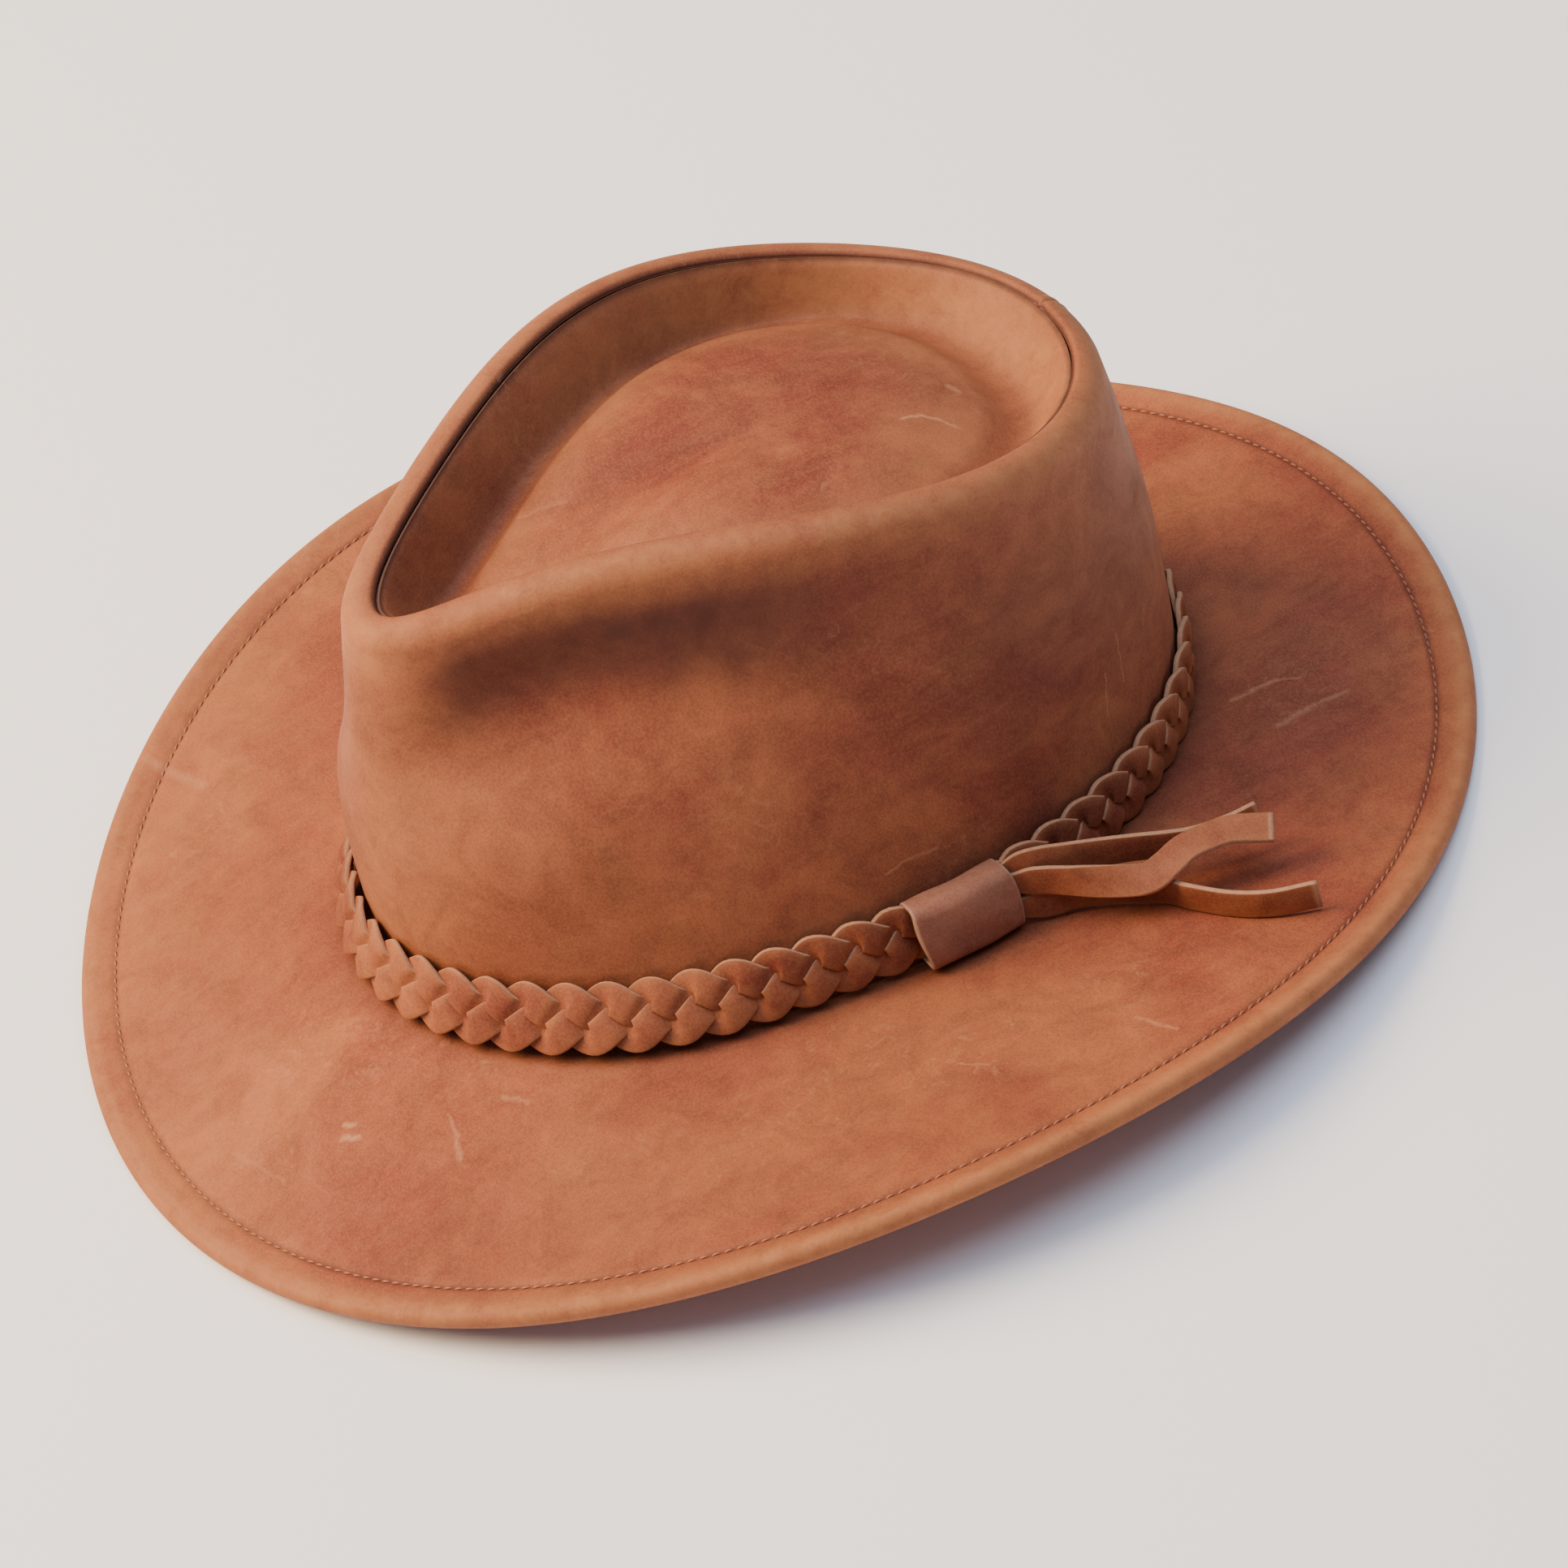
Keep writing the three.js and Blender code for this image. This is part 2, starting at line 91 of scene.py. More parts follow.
def bump(value, middle, spread, height=1):
    return height * np.exp(-((value - middle) / spread) ** 2)


def aroundHat(values):
    # a smooth mirrored curve through values at equal angles from the front (0) to the back (180)
    last = len(values) - 1
    steps = np.arange(last + 1)
    weights = np.ones(last + 1)
    weights[[0, last]] = 0.5
    waves = 2 / last * (np.cos(np.pi * np.outer(steps, steps) / last) * weights) @ np.array(values)
    return lambda angle: np.cos(np.multiply.outer(angle, steps)) @ (waves * weights)


waves = {"count": 7, "shortest": 0.7, "longest": 1.7, "height": 0.25}


def softWave(place, size, seed):
    # gentle unevenness from a few crossing waves, between -1 and 1
    draw = np.random.default_rng(seed)
    total = np.zeros(place.shape[:-1])
    for _ in range(waves["count"]):
        heading = draw.normal(size=3)
        heading /= np.linalg.norm(heading)
        length = size * draw.uniform(waves["shortest"], waves["longest"])
        total += np.sin(place @ heading * turn / length + draw.uniform(0, turn))
    return total * waves["height"]


def unit(vectors):
    return vectors / np.maximum(np.linalg.norm(vectors, axis=-1, keepdims=True), 1e-9)


def gridFaces(rows, columns, closedRows, closedColumns):
    i = np.arange(rows if closedRows else rows - 1)[:, None]
    j = np.arange(columns if closedColumns else columns - 1)[None, :]
    nextRow = (i + 1) % rows
    nextColumn = (j + 1) % columns
    corners = (i * columns + j, i * columns + nextColumn, nextRow * columns + nextColumn,
               nextRow * columns + j)
    return np.stack(np.broadcast_arrays(*corners), -1).reshape(-1, 4).tolist()


def meshPiece(name, points, faces, material, marks=None, node=None):
    # points in millimetres; marks are per-point values that the leather's colour, wear,
    # dark seams and painted light and shade follow
    mesh = bpy.data.meshes.new(name)
    mesh.from_pydata((points.reshape(-1, 3) * mm).tolist(), [], faces)
    for markName, values in (marks or {}).items():
        layer = mesh.attributes.new(markName, "FLOAT", "POINT")
        layer.data.foreach_set("value", values.astype(np.float32).ravel())
    mesh.validate()
    mesh.update()
    volume = sum(face.center.dot(face.normal) * face.area for face in mesh.polygons)
    if volume < 0:
        mesh.flip_normals()
    mesh.polygons.foreach_set("use_smooth", [True] * len(mesh.polygons))
    mesh.materials.append(material)
    piece = bpy.data.objects.new(name, mesh)
    bpy.context.scene.collection.objects.link(piece)
    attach(piece, "root")
    if node:
        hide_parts(node)


# materials
def linearColour(text):
    channels = [int(text[k:k + 2], 16) / 255 for k in (1, 3, 5)]
    linear = [c / 12.92 if c <= 0.04045 else ((c + 0.055) / 1.055) ** 2.4 for c in channels]
    return (*linear, 1)


def newMaterial(name):
    material = bpy.data.materials.new(name)
    material.use_nodes = True
    return material, material.node_tree.nodes["Principled BSDF"]


def addNode(tree, kind, output, inputs, **settings):
    # one node with its settings; its inputs are values or other nodes' outputs; gives one output
    node = tree.nodes.new("ShaderNode" + kind)
    for key, value in settings.items():
        setattr(node, key, value)
    for key, value in inputs.items():
        if isinstance(value, bpy.types.NodeSocket):
            tree.links.new(value, node.inputs[key])
        else:
            node.inputs[key].default_value = value
    return node.outputs[output]


# Full-grain cowhide, drum-dyed and waxed: a matt, cloudy rust brown that pales where it is bent
# or rubbed and keeps soft scuffs and fine scratches. Sizes in millimetres; specks and grain are
# two to three times coarser than a real hide's, which would be lost between the picture's pixels.
leatherLook = {
    "rust": "#7C3A29",
    "tan": "#9C5A3A",
    "deep": "#41201A",
    "paleWearAndLight": "#A46D43",
    "scratch": "#BE8A62",
    "flesh": "#A67F62",
    "cutEdge": "#B99A80",
    "cloudSize": 70.0,
    "patchSize": 16.0,
    "patchStrength": 0.4,
    "streakSize": 3.2,
    "streakStretch": 9.0,
    "streakStrength": 0.16,
    "fleckSize": 1.9,
    "fleckStrength": 0.1,
    "speckSize": 0.6,
    "paleSpeckStrength": 0.22,
    "darkSpeckStrength": 0.2,
    # noise sizes for the painted shade and seams, and for the rubbing and painted light
    "shadeAndSeamNoiseSize": 9.0,
    "wearAndLightNoiseSize": 6.0,
    "scuffPlaceSize": 38.0,
    "scuffSize": 4.2,
    "scuffStrength": 0.25,
    "scratchWobble": 2.2,
    "scratchWobbleSize": 3.0,
    "scratchSoftness": 1.3,
    "scratchStrength": 0.85,
    "raggedSize": 1.0,
    "napSize": 0.9,
    "grainSize": 1.1,
    "grainHeight": 0.35,
    "poreSize": 0.5,
    "poreHeight": 0.3,
    "creaseSize": 4.5,
    "creaseHeight": 0.3,
    "relief": 0.16,
    "reliefStrength": 0.6,
    "roughness": 0.68,
    "roughnessSpread": 0.07,
    "ior": 1.45,
    "shine": 0.22,
}

# The patterns: which size above, the noise's detail, roughness and distortion, the two ends of
# the part of its range that is used, and the values that they become.
hidePatterns = {
    "clouds": ("cloudSize", 5, 0.6, 0.7, 0.4, 0.6, 0, 1),
    "patches": ("patchSize", 6, 0.66, 1.2, 0.38, 0.7, 0, 1),
    "streaks": ("streakSize", 4, 0.6, 0.5, 0.42, 0.72, 0, 1),
    "flecks": ("fleckSize", 5, 0.75, 0, 0.4, 0.72, 0, 1),
    "paleSpecks": ("speckSize", 2, 0.6, 0, 0.48, 0.68, 0, 1),
    "darkSpecks": ("speckSize", 2, 0.6, 0, 0.52, 0.34, 0, 1),
    # noise in the painted shade and seams, then in the rubbing and painted light
    "shadeAndSeamNoise": ("shadeAndSeamNoiseSize", 4, 0.6, 0, 0.2, 0.7, 0.75, 1),
    "wearAndLightNoise": ("wearAndLightNoiseSize", 6, 0.72, 0.6, 0.32, 0.66, 0.3, 1),
    "scuffPlaces": ("scuffPlaceSize", 3, 0.5, 0, 0.52, 0.66, 0, 1),
    "scuffs": ("scuffSize", 5, 0.7, 1.5, 0.54, 0.7, 0, 1),
    "ragged": ("raggedSize", 4, 0.75, 0, 0.3, 0.6, 0.35, 1),
    "nap": ("napSize", 5, 0.75, 0, 0.3, 0.7, 0.72, 1.1),
    "pores": ("poreSize", 3, 0.6, 0, 0, 1, 0, 1),
    "creases": ("creaseSize", 5, 0.6, 0.5, 0, 1, 0, 1),
}

# Scratches on the brim and the crown: the ends in millimetres, half the width, how pale. Those on
# the crown wall, beyond wallFrom in x and z, are laid on along x, the others from above.
wallFrom = (55.0, 25.0)
brimScuffs = [
    ((29.4, -131.8, 14.6), (31.4, -130.0, 14.7), 0.8, 0.8),
    ((32.3, -133.9, 13.9), (35.0, -131.2, 14.3), 1.0, 0.9),
    ((46.9, -111.8, 17.5), (53.0, -113.2, 16.9), 0.5, 0.45),
    ((53.0, -113.2, 16.9), (60.4, -116.2, 16.0), 0.7, 0.5),
    ((52.9, -99.7, 18.6), (58.4, -96.1, 18.5), 0.8, 0.45),
    ((49.5, 105.4, 5.3), (51.3, 117.3, 4.9), 0.9, 0.55),
    ((51.3, 117.3, 4.9), (54.1, 121.4, 4.7), 0.6, 0.5),
    ((65.5, 107.6, 5.2), (65.0, 118.7, 4.7), 1.1, 0.5),
    ((65.0, 118.7, 4.7), (66.0, 127.5, 4.3), 0.8, 0.45),
    ((-124.0, -111.9, 18.3), (-104.7, -104.9, 16.9), 1.6, 0.35),
    ((136.4, 22.8, 17.8), (146.7, 27.3, 18.7), 0.7, 0.5),
    ((120.2, -15.2, 18.8), (125.8, -9.8, 19.1), 0.5, 0.35),
    ((98.0, -108.0, 12.0), (101.0, -93.0, 14.0), 0.6, 0.3),
    ((12.0, -155.0, 10.0), (30.0, -150.0, 11.0), 0.7, 0.3),
]
crownScuffs = [
    ((17.6, 56.3, 105.6), (18.6, 60.5, 104.5), 0.7, 0.75),
    ((18.6, 60.5, 104.5), (22.2, 63.5, 103.2), 0.6, 0.7),
    ((22.2, 63.5, 103.2), (26.4, 65.4, 101.9), 0.5, 0.6),
    ((9.9, 72.7, 100.5), (12.4, 73.3, 100.1), 0.9, 0.6),
    ((76.2, -2.2, 39.3), (76.6, 4.1, 40.4), 0.45, 0.6),
    ((76.6, 4.1, 40.4), (77.1, 11.2, 38.9), 0.45, 0.55),
    ((60.5, 75.4, 53.1), (61.7, 73.6, 39.6), 0.35, 0.35),
    ((64.4, 68.4, 47.3), (65.7, 65.9, 37.0), 0.35, 0.4),
    ((-13.2, -30.0, 111.3), (-7.9, -19.3, 112.6), 0.6, 0.3),
]


def leatherMaterial(name, look, scuffs=()):
    material, shader = newMaterial(name)
    tree = material.node_tree
    metres = addNode(tree, "TexCoord", "Object", {})
    place = addNode(tree, "VectorMath", 0, {0: metres, "Scale": 1 / mm}, operation="SCALE")
    stretch = (1, 1 / look["streakStretch"], 1)
    stretched = addNode(tree, "VectorMath", 0, {0: place, 1: stretch}, operation="MULTIPLY")

    def pattern(patternName):
        size, detail, roughness, distortion, low, high, atLow, atHigh = hidePatterns[patternName]
        where = stretched if patternName == "streaks" else place
        value = addNode(tree, "TexNoise", "Fac", {
            "Vector": where, "Scale": 1 / look[size], "Detail": detail, "Roughness": roughness,
            "Distortion": distortion})
        return addNode(tree, "MapRange", "Result", {
            "Value": value, "From Min": low, "From Max": high, "To Min": atLow, "To Max": atHigh})

    marks = {markName: addNode(tree, "Attribute", "Fac", {}, attribute_name=markName)
             for markName in ("shadeAndSeams", "wearAndLight", "flesh", "cutEdge")}
    times, larger, plus = ({"operation": operation, "use_clamp": True}
                           for operation in ("MULTIPLY", "MAXIMUM", "ADD"))

    # the colours laid over the rust one after another: where, how strongly, and which colour
    patches = pattern("patches")
    layers = [
        (pattern("clouds"), 1, "tan"),
        (patches, look["patchStrength"], "deep"),
        (pattern("streaks"), look["streakStrength"], "paleWearAndLight"),
        (pattern("flecks"), look["fleckStrength"], "paleWearAndLight"),
        (pattern("paleSpecks"), look["paleSpeckStrength"], "paleWearAndLight"),
        (pattern("darkSpecks"), look["darkSpeckStrength"], "deep"),
        # painted shade together with the real dark seams and stitch line, in the deep colour; then
        # real rubbing together with painted light, in the pale colour
        (marks["shadeAndSeams"], pattern("shadeAndSeamNoise"), "deep"),
        (marks["wearAndLight"], pattern("wearAndLightNoise"), "paleWearAndLight"),
    ]
    if scuffs:
        # soft rubbed patches gathered in a few places, then the scratches that can be told apart
        pale = addNode(tree, "Math", 0, {0: pattern("scuffs"), 1: pattern("scuffPlaces")}, **times)
        pale = addNode(tree, "Math", 0, {0: pale, 1: look["scuffStrength"]}, **times)
        wobble = addNode(tree, "TexNoise", "Color", {
            "Vector": place, "Scale": 1 / look["scratchWobbleSize"], "Detail": 3})
        for operation, key, value in (("SUBTRACT", 1, (0.5, 0.5, 0.5)),
                                      ("SCALE", "Scale", look["scratchWobble"]),
                                      ("ADD", 1, place)):
            wobble = addNode(tree, "VectorMath", 0, {0: wobble, key: value}, operation=operation)
        ragged = pattern("ragged")
        for start, end, halfWidth, paleness in scuffs:
            onWall = abs(start[0]) > wallFrom[0] and start[2] > wallFrom[1]
            flatten = (0.25, 1, 1) if onWall else (1, 1, 0.25)
            along = Vector([(b - a) * f for a, b, f in zip(start, end, flatten)])
            perLength = tuple(along / along.length_squared)
            apart = addNode(tree, "VectorMath", 0, {0: wobble, 1: start}, operation="SUBTRACT")
            apart = addNode(tree, "VectorMath", 0, {0: apart, 1: flatten}, operation="MULTIPLY")
            share = addNode(tree, "VectorMath", "Value", {0: apart, 1: perLength},
                            operation="DOT_PRODUCT")
            share = addNode(tree, "Math", 0, {0: share, 1: 0.0}, **larger)
            nearest = addNode(tree, "VectorMath", 0, {0: tuple(along), "Scale": share},
                              operation="SCALE")
            away = addNode(tree, "VectorMath", "Value", {0: apart, 1: nearest},
                           operation="DISTANCE")
            stroke = addNode(tree, "MapRange", "Result", {
                "Value": away, "From Min": halfWidth * look["scratchSoftness"], "From Max": 0.0,
                "To Min": 0, "To Max": paleness * look["scratchStrength"]})
            stroke = addNode(tree, "Math", 0, {0: stroke, 1: ragged}, **times)
            pale = addNode(tree, "Math", 0, {0: pale, 1: stroke}, **larger)
        layers.append((pale, 1, "scratch"))
    # the mix node's colours go into sockets 6 and 7 and come out of socket 2
    colour = linearColour(look["rust"])
    for where, strength, colourName in layers:
        share = addNode(tree, "Math", 0, {0: where, 1: strength}, **times)
        over = linearColour(look[colourName])
        colour = addNode(tree, "Mix", 2, {0: share, 6: colour, 7: over}, data_type="RGBA")
    # the napped flesh side and the raw cut edges
    nap = pattern("nap")
    for markName in ("flesh", "cutEdge"):
        over = addNode(tree, "VectorMath", 0, {0: linearColour(look[markName])[:3], "Scale": nap},
                       operation="SCALE")
        colour = addNode(tree, "Mix", 2, {0: marks[markName], 6: colour, 7: over},
                         data_type="RGBA")

    grain = addNode(tree, "TexVoronoi", "Distance", {
        "Vector": place, "Scale": 1 / look["grainSize"]}, feature="SMOOTH_F1")
    height = 0.0
    for part, share in ((grain, "grainHeight"), (pattern("pores"), "poreHeight"),
                        (pattern("creases"), "creaseHeight")):
        raised = addNode(tree, "Math", 0, {0: part, 1: look[share]}, **times)
        height = addNode(tree, "Math", 0, {0: height, 1: raised}, **plus)
    relief = addNode(tree, "Bump", "Normal", {
        "Height": height, "Distance": look["relief"] * mm, "Strength": look["reliefStrength"]})
    roughness = addNode(tree, "MapRange", "Result", {
        "Value": patches, "To Min": look["roughness"] - look["roughnessSpread"],
        "To Max": look["roughness"] + look["roughnessSpread"]})
    for key, value in (("Normal", relief), ("Base Color", colour), ("Roughness", roughness)):
        tree.links.new(value, shader.inputs[key])
    shader.inputs["IOR"].default_value = look["ior"]
    shader.inputs["Specular IOR Level"].default_value = look["shine"]
    return material


crownLeather = leatherMaterial("waxedPullUpCowhideCrown", leatherLook, crownScuffs)

# The same hide, a shade brighter and redder on the brim.
brimLook = {**leatherLook, "tan": "#A25C38", "rust": "#88402C"}
brimLeather = leatherMaterial("waxedPullUpCowhideBrim", brimLook, brimScuffs)

# The same hide cut into laces with a knife: small clouds, and pale fibrous edges beside the grain.
laceLook = {**leatherLook, "cloudSize": 30.0, "cutEdge": "#B28362"}
laceLeather = leatherMaterial("cutCowhideLace", laceLook)

# The same hide skived thin and wrapped round: evener and duller than the laces it holds.
wrapLook = {**leatherLook, "rust": "#7E4631", "tan": "#955A40", "paleWearAndLight": "#A07860",
            "cloudSize": 24.0}
wrapLeather = leatherMaterial("skivedCowhideWrap", wrapLook)

# Bonded polyester sewing thread, waxed: thin tan cord with a soft sheen.
threadLook = {"colour": "#96593A", "roughness": 0.5}


def threadMaterial():
    material, shader = newMaterial("waxedPolyesterThread")
    shader.inputs["Base Color"].default_value = linearColour(threadLook["colour"])
    shader.inputs["Roughness"].default_value = threadLook["roughness"]
    return material


thread = threadMaterial()
print("materials made")

# hat sizes, the same as the frame's
foot = {"halfWidth": 81.0, "halfLength": 104.5, "setBack": 5.2, "height": 13.1, "tilt": 4.9}
seatGap = 0.3


def footTop(y):
    return foot["height"] - math.sin(math.radians(foot["tilt"])) * (y - foot["setBack"])


def footOval(angle, grow):
    x = (foot["halfWidth"] + grow) * np.sin(angle)
    y = foot["setBack"] - (foot["halfLength"] + grow) * np.cos(angle)
    return np.stack([x, y, footTop(y)], -1)


# brim
brim = {
    "halfWidth": 166.0,
    "halfLength": 176.3,
    "thickness": 2.6,
    "beadRadius": 2.4,
    "sideLift": 22.9,
    "curl": 1.3,
    "lifts": [0.074, 0.332, 0.89, 1, 0.38, 0.083, 0.227],
    "innerGrow": -2.0,
    "stitchInset": 9.4,
    "stitchDip": 0.45,
    "stitchDipWidth": 1.1,
    "unevenness": 0.45,
    "waveSize": 46.0,
    "waveSeed": 3,
    "evenEdge": 3.0,
    "evenEdgeRun": 30.0,
    "evenInsideRun": 25.0,
    "hemWidth": 13.5,
    "sections": 520,
    "beadColumns": 9,
    "hemColumns": 22,
    "sheetColumns": 44,
}
# Where and how strongly the brim is rubbed and darkened: real rub at the edge, a darker stitch
# line, painted shade beside the crown's foot and on the near side, and painted light towards the
# front and the far side. Three numbers are a place, a spread and a strength; two are a ramp's
# start and run, in millimetres.
brimWearAndPaintedShading = {
    "edgeRub": (2.2, 3.2, 0.85),
    "edgeLossUnder": 0.5,
    "stitchDark": (brim["stitchInset"], 0.8, 0.8),
    "paintedFootShade": 0.5,
    "footRamp": (-17, 12),
    "paintedSideShade": 0.28,
    "sideRampAcross": (35, 70),
    "sideRampBack": (-15, 60),
    "paintedFrontLight": 0.4,
    "frontWay": (-0.5, -0.85),
    "frontRamp": (85, 60),
}
edgeLift = aroundHat(brim["lifts"])


def brimPoint(angle, inset, side):
    # angle round the hat, inset from the outer edge, side +1 on top and -1 underneath
    inner = footOval(angle, brim["innerGrow"])
    radius = brim["beadRadius"]
    outward = unit(np.stack([np.sin(angle) / brim["halfWidth"],
                             -np.cos(angle) / brim["halfLength"], 0 * angle], -1))
    edge = np.stack([(brim["halfWidth"] - radius) * np.sin(angle),
                     -(brim["halfLength"] - radius) * np.cos(angle),
                     brim["sideLift"] * edgeLift(angle)], -1)
    level = inner - edge
    level[..., 2] = 0
    reach = np.linalg.norm(level, axis=-1)
    share = np.clip(1 - (inset - radius) / reach, 0, 1)
    middle = mix(inner[..., 2] - brim["thickness"] / 2, edge[..., 2], share ** brim["curl"])
    flat = edge[..., :2] + level[..., :2] * (1 - share)[..., None]
    beyond = np.clip(radius - inset, 0, None)[..., None]
    flat = flat + outward[..., :2] * beyond
    sheet = brim["thickness"] / 2
    rounded = np.sqrt(np.clip(radius ** 2 - (radius - inset) ** 2, 0, None))
    falling = mix(radius, sheet, smoothStep((inset - radius) / (brim["stitchInset"] - radius)))
    half = np.where(inset < radius, rounded, falling)
    half = half - brim["stitchDip"] * bump(inset, brim["stitchInset"], brim["stitchDipWidth"])
    quiet = (ramp(inset, brim["evenEdge"], brim["evenEdgeRun"])
             * ramp(reach - inset, 0, brim["evenInsideRun"]))
    place = np.concatenate([flat, middle[..., None]], -1)
    uneven = brim["unevenness"] * quiet * softWave(place, brim["waveSize"], brim["waveSeed"])
    height = np.maximum(0, middle + uneven + side * half)
    return np.concatenate([flat, height[..., None]], -1), reach


def buildBrim():
    angle = np.linspace(0, turn, brim["sections"], endpoint=False)[:, None]
    radius = brim["beadRadius"]
    bead = radius * (1 - np.cos(np.linspace(0, math.pi / 2, brim["beadColumns"])))
    hem = np.linspace(radius, brim["hemWidth"], brim["hemColumns"])[1:]
    sheetShares = np.linspace(0, 1, brim["sheetColumns"])[1:]
    columns = []
    for side in (1, -1):
        _, reach = brimPoint(angle, np.array([[1.0]]), side)
        insets = [np.full_like(angle, value) for value in np.concatenate([bead, hem])]
        insets += [mix(brim["hemWidth"], reach + radius, share) for share in sheetShares]
        inset = np.concatenate(insets, 1)
        points, _ = brimPoint(angle + 0 * inset, inset, side)
        columns.append((points, inset, np.full_like(inset, max(0, side))))
    top, bottom = columns
    points, inset, onTop = (np.concatenate([above[:, ::-1], below[:, 1:]], 1)
                            for above, below in zip(top, bottom))
    wearAndShading = brimWearAndPaintedShading
    wearAndLight = bump(inset, *wearAndShading["edgeRub"])
    wearAndLight *= 1 - wearAndShading["edgeLossUnder"] * (1 - onTop)
    shadeAndSeams = bump(inset, *wearAndShading["stitchDark"])
    reach = inset.max(1, keepdims=True)
    # painted shade: darker beside the crown's foot, and on the near side of the brim
    byFoot = wearAndShading["paintedFootShade"] * ramp(inset - reach, *wearAndShading["footRamp"])
    x, y = points[..., 0], points[..., 1]
    onSide = ramp(x, *wearAndShading["sideRampAcross"]) * (1 - ramp(y, *wearAndShading["sideRampBack"]))
    shadeAndSeams = np.maximum(shadeAndSeams, np.maximum(byFoot, wearAndShading["paintedSideShade"] * onSide) * onTop)
    # painted light: paler towards the front and the far side, where the key lamp falls
    toFront = wearAndShading["frontWay"][0] * x + wearAndShading["frontWay"][1] * y
    wearAndLight = np.maximum(wearAndLight, wearAndShading["paintedFrontLight"] * ramp(toFront, *wearAndShading["frontRamp"]) * onTop)
    rows, count = points.shape[:2]
    faces = gridFaces(rows, count, True, True)
    meshPiece("brim_leather", points, faces, brimLeather,
              {"wearAndLight": wearAndLight, "shadeAndSeams": shadeAndSeams}, "brim")


def stitchRow(name, route, normals, look):
    # small sunken thread capsules along a closed route
    steps = np.linalg.norm(np.roll(route, -1, 0) - route, axis=1)
    lengths = np.concatenate([[0], np.cumsum(steps)])
    closed = np.concatenate([route, route[:1]])
    closedNormals = np.concatenate([normals, normals[:1]])
    count = int(lengths[-1] / look["pitch"])
    sides = look["sides"]
    rings = look["rings"]
    points = []
    faces = []
    draw = np.random.default_rng(look["seed"])
    for k in range(count):
        middle = (k + 0.5) * lengths[-1] / count
        at = np.array([np.interp(middle + s * look["length"] / 2, lengths, closed[:, c])
                       for s in (-1, 0, 1) for c in range(3)]).reshape(3, 3)
        normal = unit(np.array([np.interp(middle, lengths, closedNormals[:, c])
                                for c in range(3)]))
        along = unit(at[2] - at[0])
        across = unit(np.cross(normal, along))
        slant = look["slant"] + draw.normal(0, look["slantSpread"])
        along = unit(along + across * slant)
        across = unit(np.cross(normal, along))
        base = len(points)
        for ring in rings:
            size = look["radius"] * math.sqrt(1 - ring ** 2 * look["taper"])
            centre = at[1] + along * ring * look["length"] / 2
            centre = centre + normal * (look["lift"] * (1 - ring ** 2) - look["sink"])
            for side in range(sides):
                around = turn * side / sides
                points.append(centre + across * size * math.cos(around)
                              + normal * size * math.sin(around))
        for ring in range(len(rings) - 1):
            for side in range(sides):
                a = base + ring * sides + side
                b = base + ring * sides + (side + 1) % sides
                faces.append((a, b, b + sides, a + sides))
        faces.append(tuple(base + side for side in reversed(range(sides))))
        faces.append(tuple(base + (len(rings) - 1) * sides + side for side in range(sides)))
    meshPiece(name, np.array(points), faces, thread)


brimStitch = {
    "pitch": 2.9,
    "length": 2.1,
    "radius": 0.33,
    "lift": 0.2,
    "sink": 0.02,
    "slant": 0.12,
    "slantSpread": 0.03,
    "seed": 11,
    "taper": 0.9,
    "sides": 6,
    "rings": [-1, -0.86, -0.5, 0, 0.5, 0.86, 1],
    "routePoints": 1400,
    "besideRoute": 2.5,
}


def buildBrimStitches():
    angle = np.linspace(0, turn, brimStitch["routePoints"], endpoint=False)
    inset = np.full_like(angle, brim["stitchInset"])
    for name, side in (("brim_stitches_top", 1), ("brim_stitches_under", -1)):
        route, _ = brimPoint(angle, inset, side)
        inner, _ = brimPoint(angle, inset + brimStitch["besideRoute"], side)
        outer, _ = brimPoint(angle, inset - brimStitch["besideRoute"], side)
        along = np.roll(route, -1, 0) - np.roll(route, 1, 0)
        normal = unit(np.cross(inner - outer, along))
        normal = normal * np.sign(normal[:, 2:3] * side)
        stitchRow(name, route, normal, brimStitch)


buildBrim()
buildBrimStitches()
print("brim made")

# crown wall and rolled rim
crown = {
    "crestHalfWidth": 61.7,
    "crestHalfLength": 89.6,
    "crestSetBack": 14.4,
    "crestHeight": 122.4,
    "crestLean": 0.8,
    "spreads": [0.507, 0.507, 0.649, 0.927, 1.076, 1.139, 1.17],
    "heights": [0.919, 0.95, 1, 0.979, 0.877, 0.797, 0.777],
    "fullness": 5.0,
    "fullnessShares": [1, 1, 0.6, 0.2, 0.2, 0.5, 0.6],
    "wall": 2.0,
    "rimRadius": 6.5,
    "rimStart": 12.0,
    "rimEnd": 122.0,
    "rimEndShares": [1, 1, 1, 1, 0.92, 0.8, 0.72],
    "dentDepth": 13.5,
    "dentAngle": 42.0,
    "dentSpread": 25.0,
    "dentShare": 0.79,
    "dentShareSpread": 0.17,
    "unevenness": 0.35,
    "waveSize": 38.0,
    "waveSeed": 8,
    "seamDip": 0.9,
    "seamSpan": 16.0,
    "joinDip": 0.5,
    "joinWidth": 0.6,
    "joinLipShare": 0.5,
    "joinLipPlace": 2.2,
    "joinLipWidth": 1.3,
    "joinSpan": 0.045,
    "backRadius": 110.0,
    "sections": 460,
    "joinSections": 37,
    "wallRows": 60,
    "rimRows": 22,
}
